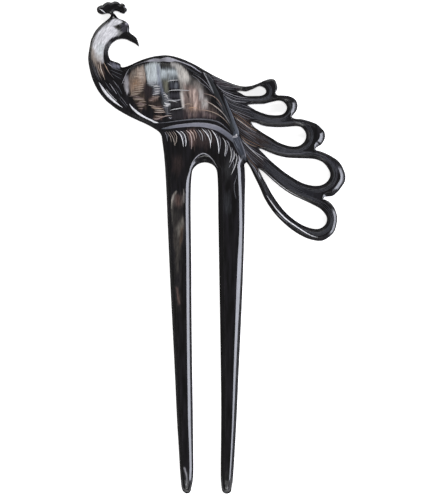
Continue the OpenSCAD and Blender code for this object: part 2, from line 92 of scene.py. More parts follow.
# the outline in millimetres, anticlockwise from the crest's stalk
outline = {
    "step": 0.33,
    "parts": {
        "neckAndProngs": [
            (-32.73, 44.52), (-33.18, 43.68), (-34.05, 42.84), (-35.63, 41.65), (-36.61, 40.74),
            (-37.62, 39.69), (-38.5, 38.5), (-39.16, 37.13), (-39.76, 35.73), (-40.04, 34.3),
            (-40.53, 31.5), (-40.74, 29.4), (-40.56, 27.3), (-40.28, 25.87), (-39.58, 23.07),
            (-38.5, 20.23), (-36.89, 17.39), (-34.55, 14.56), (-32.9, 13.16), (-31.04, 11.72),
            (-28.77, 10.32), (-26.21, 8.92), (-23.21, 7.52), (-20.12, 6.12), (-17.61, 4.72),
            (-15.78, 3.36), (-15.05, 2.07), (-14.84, 0.7), (-14.14, -4.9), (-13.51, -14), (-12.81, -30.8),
            (-12.07, -47.6), (-11.23, -64.4), (-10.39, -81.2), (-9.62, -98), (-9.1, -106.4),
            (-8.61, -114.8), (-8.29, -119.03), (-8.05, -121.17), (-7.81, -122.01), (-7.24, -122.81),
            (-6.19, -123.3), (-5.11, -122.85), (-4.72, -121.94), (-4.58, -121.17), (-4.27, -119.77),
            (-4.06, -118.33), (-3.88, -114.8), (-3.92, -110.6), (-4.09, -93.8), (-4.34, -77),
            (-4.52, -60.2), (-4.62, -41.3), (-4.83, -20.3), (-4.66, -14), (-4.17, -9.83), (-3.43, -8.75),
            (-2.03, -7.63), (0.07, -7.11), (2.21, -7.59), (3.61, -8.64), (4.27, -9.97), (4.62, -14),
            (4.83, -26.6), (5.18, -47.6), (5.53, -68.6), (5.81, -93.8), (5.67, -114.8), (5.71, -118.3),
            (5.81, -119.73), (5.95, -121.17), (6.19, -122.32), (6.79, -123.09), (7.67, -123.37),
            (8.54, -123.23), (9.31, -122.57), (9.56, -121.17), (9.91, -119.03), (10.22, -114.8),
            (11.2, -98), (11.93, -81.2), (12.74, -64.4), (13.44, -47.6), (13.97, -30.8), (14.11, -20.3),
            (14.24, -13.3), (14.07, -9.27), (13.97, -7.84), (14.73, -7.03)],
        "loopFive": [
            (14.73, -7.03), (15.82, -8.64), (17.46, -12.01), (19.18, -15.51), (20.93, -19.53),
            (22.89, -22.78), (25.2, -25.76), (27.72, -28.28), (30.45, -30.56), (33.49, -32.52),
            (36.22, -33.81), (39.02, -34.51), (41.26, -34.54), (43.54, -33.32), (45.39, -31.39),
            (46.24, -28.77), (46.44, -26.25), (45.92, -24.04), (44.94, -22.19), (43.75, -20.96),
            (42.45, -20.23), (41.58, -19.98)],
        "loopFour": [
            (41.58, -19.98), (41.93, -19.28), (43.29, -19.04), (44.97, -18.79), (46.66, -17.36),
            (48.12, -15.54), (49.24, -13.54), (49.35, -11.55), (48.93, -10.12), (48.05, -8.19),
            (46.62, -6.41), (44.73, -5.11), (42.56, -3.99), (40.46, -3.18), (39.09, -2.87), (38.78, -2.56)],
        "loopThree": [
            (38.78, -2.56), (38.92, -2.07), (39.76, -1.51), (40.88, -0.81), (41.89, 0.67), (42.24, 2.1),
            (41.96, 3.67), (40.74, 5.07), (39.27, 6.33), (37.41, 7.1), (35.59, 7.67), (33.81, 8.05),
            (32.02, 8.15), (30.97, 8.37), (30.45, 8.96)],
        "loopTwo": [
            (30.45, 8.96), (30.84, 9.35), (31.36, 10.01), (32.06, 10.85), (32.55, 12.25), (32.51, 13.4),
            (31.85, 14.87), (30.45, 15.78), (28.91, 16.2), (27.12, 16.31), (25.55, 16.38), (24.96, 16.9),
            (24.81, 17.36)],
        "backAndBeak": [
            (24.81, 17.36), (25.02, 17.75), (25.48, 18.52), (25.48, 19.42), (25.16, 20.68), (24.61, 21.7),
            (23.62, 22.05), (22.57, 21.98), (21.21, 21.59), (19.49, 20.82), (17.74, 20.09), (15.92, 19.6),
            (14.17, 19.42), (12.42, 19.63), (10.71, 20.09), (8.96, 20.72), (7.17, 21.45), (3.61, 23.13),
            (0.11, 25.09), (-3.36, 27.09), (-5.11, 27.93), (-6.86, 28.73), (-8.57, 29.36), (-10.32, 29.89),
            (-12.07, 30.24), (-13.82, 30.38), (-15.57, 30.24), (-17.32, 30.03), (-19.04, 29.64),
            (-20.76, 29.15), (-22.54, 28.49), (-24.29, 27.72), (-26.04, 26.91), (-27.12, 26.5),
            (-28.17, 26.21), (-28.95, 26.18), (-29.36, 26.53), (-29.36, 27.16), (-30.2, 27.75),
            (-31.67, 28.24), (-32.52, 28.56), (-33, 28.91), (-33.42, 29.78), (-33.7, 30.8),
            (-33.74, 31.85), (-33.46, 32.87), (-32.93, 33.88), (-32.45, 34.55), (-31.6, 35.24),
            (-30.62, 35.84), (-29.57, 36.08), (-28.52, 36.12), (-27.47, 35.95), (-26.42, 35.52),
            (-25.41, 35), (-24.39, 34.51), (-23.59, 33.88), (-22.92, 33.32)],
        "head": [
            (-22.92, 33.32), (-22.99, 34.33), (-23.21, 35.03), (-23.73, 36.3), (-24.61, 37.17),
            (-25.69, 37.9), (-26.28, 38.6), (-26.32, 39.38), (-26.32, 40.28), (-26.6, 41.27), (-27.27, 42),
            (-28.38, 42.66), (-29.47, 43.02), (-30.2, 43.37), (-30.77, 44.06), (-31.36, 44.8),
            (-31.82, 45.15)],
        "crestRight": [
            (-31.82, 45.15), (-31.99, 45.53), (-31.53, 45.95), (-30.59, 45.92), (-29.36, 45.32),
            (-28.56, 45.04), (-28.14, 45.04), (-27.68, 45.53), (-27.23, 45.92), (-26.98, 46.41),
            (-27.33, 46.83), (-27.72, 47.07)],
        "crestFourth": [
            (-27.72, 47.07), (-27.68, 47.63), (-27.96, 48.16), (-28.59, 48.58), (-29.26, 48.58),
            (-29.57, 48.41)],
        "crestThird": [
            (-29.57, 48.41), (-29.82, 48.76), (-30.38, 49.14), (-31.15, 49.35), (-31.99, 49.21),
            (-32.65, 48.82)],
        "crestSecond": [
            (-32.65, 48.82), (-33.11, 49), (-33.77, 49.11), (-34.44, 48.96), (-35.21, 48.47),
            (-35.73, 47.98)],
        "crestFirst": [
            (-35.73, 47.98), (-36.37, 47.91), (-37.2, 47.53), (-37.77, 46.87), (-37.7, 46.16),
            (-37.45, 45.5), (-36.78, 45.04), (-35.88, 44.83), (-35, 44.97), (-34.2, 45.12),
            (-33.39, 45.01), (-32.73, 44.52)],
    },
    # the five openings of the tail, clockwise from their pointed roots
    "openings": [
        [
            (11.31, 17.67), (12.07, 17.85), (12.77, 17.88), (13.82, 17.75), (14.7, 17.75), (15.96, 18.2),
            (17.04, 18.62), (18.06, 19.14), (19.25, 19.57), (20.12, 19.39), (21.11, 18.79), (21.56, 17.75),
            (21.31, 17.04), (20.76, 16.59), (19.77, 16.2), (18.02, 16.1), (15.92, 16.07), (14.52, 16.13),
            (13.51, 16.55), (12.63, 17.08), (11.31, 17.67)],
        [
            (14.87, 12.95), (16.62, 13.23), (18.72, 13.3), (20.86, 13.4), (22.64, 13.82), (24.36, 14.24),
            (25.72, 14.49), (27.09, 14.32), (28.14, 13.62), (28.77, 12.57), (28.84, 11.9), (28.49, 10.88),
            (27.79, 10.08), (26.74, 9.55), (25.38, 9.38), (23.62, 9.42), (21.88, 9.66), (20.12, 10.22),
            (18.34, 10.92), (16.59, 11.93), (14.87, 12.95)],
        [
            (16.27, 7), (18.16, 6.68), (20.19, 5.85), (22.22, 5.42), (25.02, 5.22), (28.17, 5.25),
            (30.62, 5.5), (32.38, 5.57), (33.77, 5.25), (34.82, 4.31), (35.45, 3.15), (35.59, 2.1),
            (35.21, 0.67), (34.3, -0.52), (33.04, -1.29), (31.85, -1.57), (29.96, -1.47), (27.89, -0.91),
            (25.79, -0.03), (23.66, 1.29), (21.17, 2.73), (18.72, 4.34), (17.15, 5.53), (16.27, 7)],
        [
            (18.83, -2.21), (20.47, -2.66), (22.86, -3.67), (25.66, -4.72), (28.87, -5.42), (32.02, -5.63),
            (35.17, -5.71), (37.62, -5.81), (39.76, -6.27), (41.58, -7.21), (43.05, -8.82),
            (43.99, -10.82), (43.89, -12.28), (42.8, -13.93), (41.16, -14.94), (39.02, -15.33),
            (36.61, -15.02), (34.23, -14.28), (31.46, -12.81), (28.31, -10.74), (25.51, -8.57),
            (23.03, -6.44), (20.93, -4.34), (19.46, -2.83), (18.83, -2.21)],
        [
            (18.9, -9.27), (20.58, -10.36), (22.26, -11.87), (24.71, -14.11), (27.61, -16.45),
            (30.76, -18.48), (33.49, -19.77), (36.29, -21.07), (38.74, -22.29), (40.53, -23.34),
            (41.93, -24.74), (42.77, -26.21), (42.84, -27.65), (42.14, -29.02), (40.7, -30.1),
            (39.02, -30.41), (36.29, -29.86), (33.56, -28.63), (30.8, -26.74), (28, -24.15),
            (25.62, -21.17), (23.52, -18.06), (21.63, -14.63), (20.12, -11.9), (18.9, -9.27)],
    ],
}


def outlineLoops():
    outer = [smoothPath(p, outline["step"])[:-1] for p in outline["parts"].values()]
    return [np.vstack(outer)] + [smoothPath(p, outline["step"])[:-1] for p in outline["openings"]]


loops = outlineLoops()
edgeStart = np.vstack(loops)
edgeEnd = np.vstack([np.roll(loop, -1, axis=0) for loop in loops])
edgeTree = KDTree(len(edgeStart))
for i, point in enumerate(edgeStart):
    edgeTree.insert((*point, 0.0), i)
edgeTree.balance()
# which loop each point is on, and where each loop starts
loopOf = np.concatenate([np.full(len(loop), k) for k, loop in enumerate(loops)])
loopFirst = np.cumsum([0] + [len(loop) for loop in loops])
print("outline:", len(edgeStart), "points")


def pathDistance(points, path):
    # distance to a polyline, and how far along it the nearest point is, from 0 to 1
    a, b = path[:-1, :2], path[1:, :2]
    run = b - a
    length = np.linalg.norm(run, axis=1)
    reach = np.concatenate([[0.0], np.cumsum(length)])
    best = np.full(len(points), 1e9)
    along = np.zeros(len(points))
    for k in range(len(a)):
        t = np.clip(((points - a[k]) @ run[k]) / max(length[k] ** 2, 1e-12), 0.0, 1.0)
        gap = np.linalg.norm(points - (a[k] + t[:, None] * run[k]), axis=1)
        closer = gap < best
        best[closer] = gap[closer]
        along[closer] = (reach[k] + t[closer] * length[k]) / reach[-1]
    return best, along


def edgeDistance(points):
    # distance to the outline: the nearest outline point, then the edges beside it
    nearest = np.array([edgeTree.find((x, y, 0.0))[1] for x, y in points])
    first = loopFirst[loopOf[nearest]]
    size = loopFirst[loopOf[nearest] + 1] - first
    best = np.full(len(points), 1e9)
    for shift in (-2, -1, 0, 1):
        k = first + (nearest - first + shift) % size
        a, run = edgeStart[k], edgeEnd[k] - edgeStart[k]
        t = np.clip(((points - a) * run).sum(1) / np.maximum((run * run).sum(1), 1e-12), 0.0, 1.0)
        best = np.minimum(best, np.linalg.norm(points - (a + t[:, None] * run), axis=1))
    return best


def insideRows(xs, y):
    # which of xs lie in the horn on the line at height y
    crossing = (edgeStart[:, 1] > y) != (edgeEnd[:, 1] > y)
    a, b = edgeStart[crossing], edgeEnd[crossing]
    cutsAndHighlights = np.sort(a[:, 0] + (y - a[:, 1]) * (b[:, 0] - a[:, 0]) / (b[:, 1] - a[:, 1]))
    return np.searchsorted(cutsAndHighlights, xs) % 2 == 1


# the relief of the carved face, all in millimetres
plate = {
    "thickness": 4.8,
    "bevel": 1.15,            # width of the bevels on the bird and its tail
    "prongBevel": 1.72,       # width of the bevels down the prongs
    "tipBevel": 0.35,         # how much narrower near the points
    "archBevel": 1.2,         # how much wider the bevel is over the gap
    "facetSlope": 0.63,       # fall of the bevel's inner facet
    "edgeSlope": 0.90,        # and of its outer one
    "turn": 0.38,             # share of the bevel that the outer facet takes
    "prongTurn": 0.45,        # and down the prongs
    "endBevel": 0.75,         # how much wider the bevel is round the ends of the loops
    "loopEnds": [(31.67, 12.6, 4), (40.77, 1.75, 4.4), (47.42, -13.3, 6.4)],    # place and reach
    "rubbedSlope": 0.44, "rubbedTurn": 0.25,    # there the bevel is a soft curve
    # the outer bevel of the right prong: distance below the origin, width, share of the outer facet
    "sideBevel": [(4.5, 2.55, 0.60), (13.3, 2.45, 0.60), (20.3, 2.0, 0.52), (30.8, 1.8, 0.42),
                  (41.3, 2.1, 0.34), (51.8, 2.15, 0.38), (65.8, 2.0, 0.50), (83.3, 1.75, 0.56),
                  (100.8, 1.5, 0.64), (114.8, 1.4, 0.66)],
    # where the bevel narrows: places, share of the width taken off, reach
    "narrow": [
        ([(-5.22, -9.94)], 0.42, 2.4),      # where the left prong meets the arch
        ([(11.31, 17.67), (14.87, 12.95), (16.27, 7), (18.83, -2.21), (18.9, -9.27)], 0.8, 2.0),   # openings
        ([(41.58, -19.95), (38.64, -2.56), (30.45, 8.89), (24.61, 17.36)], 0.75, 1.5),     # notches
        ([(23.97, 20.3)], 0.4, 5.0),        # the end of the first loop
        ([(-32.38, 46.9)], 0.3, 6.0),       # the crest
        ([(-27.47, 46.2), (-26.98, 39.55)], 0.5, 2.2)],     # the crest's tip and the brow
    # place and reach of the spots where the whole bevel is steep, so that it stays dark
    "steepSpots": [
        (23.97, 20.3, 4.5), (11.31, 17.67, 2.6), (14.87, 12.95, 2.6), (16.27, 7, 2.6), (18.83, -2.21, 2.6),
        (18.9, -9.27, 2.6), (43.75, -18.55, 3.4), (41.34, -19.39, 3), (38.64, -2.21, 3),
        (30.45, 8.89, 1.6), (24.61, 17.36, 1.6)],
    "chamfer": 0.4,           # along the back
    "least": 0.6,             # nowhere thinner than this
    # thickness of the prongs, by distance below the origin
    "prongTaper": [(14, 1.0), (20, 1.0), (52, 0.94), (73, 0.87), (94, 0.79), (111, 0.70),
                   (118.4, 0.62), (121.4, 0.54), (123, 0.44)],
    # thickness of the neck and head, by height above the origin
    "neckLevel": [(14, 4.8), (22, 4.6), (30, 4.35), (38, 4.2), (43.2, 3.85), (44.6, 3.4)],
    "tipSlope": 0.13,         # extra fall of the face towards the points
    "tipFrom": -115.0,        # from this height down
    "tailFall": 0.8,          # how much thinner the far ends of the loops are
    "tailFrom": 14.0, "tailRun": 36.0,        # from this width on, over this length
    # the heights or widths between which a feature comes in
    "prongsBelow": (-2.0, -9.0), "prongsLeftOf": (14.3, 15.5),
    "sideBelow": (-2.0, -5.0), "sideRightOf": (7.2, 8.0), "sideLeftOf": (14.4, 15.4),
    "pointsBelow": (-95.0, -112.0),
    "archTop": -6.6, "archReach": (3.2, 4.0),     # the wider bevel over the gap: height, reach
    "steepLeftOf": (-19.0, -22.0), "steepAbove": (20.0, 24.0),    # the bevel of the neck and the head
    "neckLeftOf": (-21.0, -30.0), "neckAbove": (13.0, 16.0),      # their thickness
}
wing = {
    "rise": 1.1,
    "shoulder": 5.0,          # how soon the dome rises from its edge
    "fade": (-5.0, 7.0),      # from here to here the dome sinks into the feathers on its right
    "valley": 0.06,           # depth of the cut line round it
    "lowerValley": 0.8,       # how much of that depth is missing along its lower edge
    "cut": 0.7,               # and half its width
    "lowerEdge": (8.0, 12.0),     # heights between which the lower edge becomes the side
    "clear": (0.3, 1.0),      # the dome comes in this far from the outline
    "step": 0.5,              # between the points of its edge
    "edge": [
        (-28.66, 21), (-27.75, 23.45), (-26.49, 25.27), (-24.32, 26.39), (-21.88, 27.23), (-19.07, 27.72),
        (-15.57, 27.86), (-12.07, 27.44), (-8.57, 26.53), (-5.77, 24.92), (-3.32, 23.03), (-0.88, 20.4),
        (1.22, 17.43), (3.15, 14.35), (4.72, 11.34), (5.98, 8.96), (6.68, 7.56), (4.72, 7.77),
        (1.22, 8.19), (-2.97, 8.4), (-8.57, 7.98), (-12.77, 7.35), (-15.57, 7.14), (-18.38, 8.12),
        (-21.52, 10.29), (-24.18, 12.81), (-26.63, 15.75), (-28.38, 18.41), (-28.66, 21)],
}
eye = {"at": (-29.99, 40.25), "radius": 0.7, "depth": 0.10, "flat": 0.35}    # flat: share of the radius
crestCuts = {
    "hub": (-32.23, 45.43), "ends": [(-35.59, 47.81), (-32.62, 48.65), (-29.64, 48.23), (-27.75, 47.04)],
    "depth": 0.10, "width": 0.45,
}
# deepest in the middle: fullness 1 would make a sine wave of the depth, 0 the same depth all along
featherCuts = {"depth": 0.10, "width": 0.28, "step": 0.5, "ends": 0.02, "fullness": 0.5}


def spot(p, x, y, reach, power=2):
    # 1 at a place, and next to nothing beyond its reach
    return np.exp(-(np.hypot(p[:, 0] - x, p[:, 1] - y) / reach) ** power)


def sideMask(p):
    # the outer half of the right prong
    x, y = p[:, 0], p[:, 1]
    return (smoothStep(*plate["sideRightOf"], x) * (1 - smoothStep(*plate["sideLeftOf"], x))
            * smoothStep(*plate["sideBelow"], y))


def prongMask(p):
    x, y = p[:, 0], p[:, 1]
    return smoothStep(*plate["prongsBelow"], y) * (1 - smoothStep(*plate["prongsLeftOf"], x))


def bevelWidth(p):
    x, y = p[:, 0], p[:, 1]
    reachX, reachY = plate["archReach"]
    arch = np.exp(-(x / reachX) ** 2 - ((y - plate["archTop"]) / reachY) ** 2)
    width = (plate["bevel"] + (plate["prongBevel"] - plate["bevel"]) * prongMask(p)
             + plate["archBevel"] * arch)
    width -= plate["tipBevel"] * smoothStep(*plate["pointsBelow"], y)
    down, wide, _ = zip(*plate["sideBevel"])
    width += sideMask(p) * (np.interp(-y, down, wide) - width)
    for end in plate["loopEnds"]:
        width += plate["endBevel"] * spot(p, *end)
    for places, share, reach in plate["narrow"]:
        for place in places:
            width *= 1 - share * spot(p, *place, reach)
    return width


def turnShare(p):
    down, _, share = zip(*plate["sideBevel"])
    own = plate["turn"] + (plate["prongTurn"] - plate["turn"]) * prongMask(p)
    return own + sideMask(p) * (np.interp(-p[:, 1], down, share) - own)


def bevelDrop(p, distance, width):
    # a flat facet next to the face, then a steeper one down to the side; the neck, the head and the
    # steep spots have the steeper alone
    steep = np.zeros(len(p))
    for place in plate["steepSpots"]:
        steep = np.maximum(steep, spot(p, *place, power=4))
    neck = smoothStep(*plate["steepLeftOf"], p[:, 0]) * smoothStep(*plate["steepAbove"], p[:, 1])
    facet = plate["facetSlope"] + (plate["edgeSlope"] - plate["facetSlope"]) * np.maximum(neck, steep)
    turn = turnShare(p) * width
    drop = (facet * np.clip(width - np.maximum(distance, turn), 0, None)
            + plate["edgeSlope"] * np.clip(turn - distance, 0, None))
    inward = np.clip(width - distance, 0, None)
    for end in plate["loopEnds"]:      # rubbed round
        share = (1 - steep) * spot(p, *end, power=4)
        drop += share * (plate["rubbedSlope"] * inward + plate["rubbedTurn"] * inward ** 2 / width - drop)
    return drop


def faceLevel(p):
    x, y = p[:, 0], p[:, 1]
    level = plate["thickness"] * np.interp(-y, *zip(*plate["prongTaper"]))
    neck = smoothStep(*plate["neckLeftOf"], x) * smoothStep(*plate["neckAbove"], y)
    level += neck * (np.interp(y, *zip(*plate["neckLevel"])) - level)
    tail = np.clip((x - plate["tailFrom"]) / plate["tailRun"], 0, 1)
    return level - plate["tailFall"] * tail


wingEdge = smoothPath(wing["edge"], wing["step"])


def insideLoop(points, loop):
    a, b = loop, np.roll(loop, -1, axis=0)
    odd = np.zeros(len(points), bool)
    for p, q in zip(a, b):
        if p[1] == q[1]:
            continue
        hit = ((p[1] > points[:, 1]) != (q[1] > points[:, 1])) & (
            points[:, 0] < p[0] + (points[:, 1] - p[1]) * (q[0] - p[0]) / (q[1] - p[1]))
        odd ^= hit
    return odd


def carvedHeight(p, distance):
    width = bevelWidth(p)
    level = faceLevel(p)
    drop = bevelDrop(p, distance, width)
    gap, _ = pathDistance(p, wingEdge)
    inside = insideLoop(p, wingEdge[:-1, :2])
    dome = np.where(inside, wing["rise"] * (1 - np.exp(-gap / wing["shoulder"])), 0.0)
    shallow = 1 - wing["lowerValley"] * (1 - smoothStep(*wing["lowerEdge"], p[:, 1]))
    dome -= wing["valley"] * shallow * np.exp(-(gap / wing["cut"]) ** 2)
    dome *= 1 - smoothStep(*wing["fade"], p[:, 0])
    height = level - drop + dome * smoothStep(*wing["clear"], distance)
    pit = np.linalg.norm(p - np.array(eye["at"]), axis=1) / eye["radius"]
    height -= eye["depth"] * (1 - smoothStep(eye["flat"], 1.0, pit))
    height -= plate["tipSlope"] * np.clip(plate["tipFrom"] - p[:, 1], 0, None)
    for end in crestCuts["ends"]:
        gap, _ = pathDistance(p, np.array([crestCuts["hub"], end]))
        height -= crestCuts["depth"] * np.exp(-(gap / crestCuts["width"]) ** 2)
    for stroke in strokes["feathers"]:
        gap, along = pathDistance(p, smoothPath(stroke[0], featherCuts["step"]))
        along = np.clip(along, featherCuts["ends"], 1 - featherCuts["ends"])
        deep = featherCuts["depth"] * np.sin(np.pi * along) ** featherCuts["fullness"]
        height -= deep * np.exp(-(gap / featherCuts["width"]) ** 2)
    return np.maximum(height, plate["least"])


# colours of the horn where it is cut or worn, and of painted highlights
tints = {
    "white": "#e8e8ea", "bone": "#c2c1c1", "ash": "#96959b", "grey": "#6e6d73", "slate": "#4d4e55",
    "tan": "#a29284", "rose": "#8b7874", "smoke": "#45464c",
    "buff": "#a0948a",
}
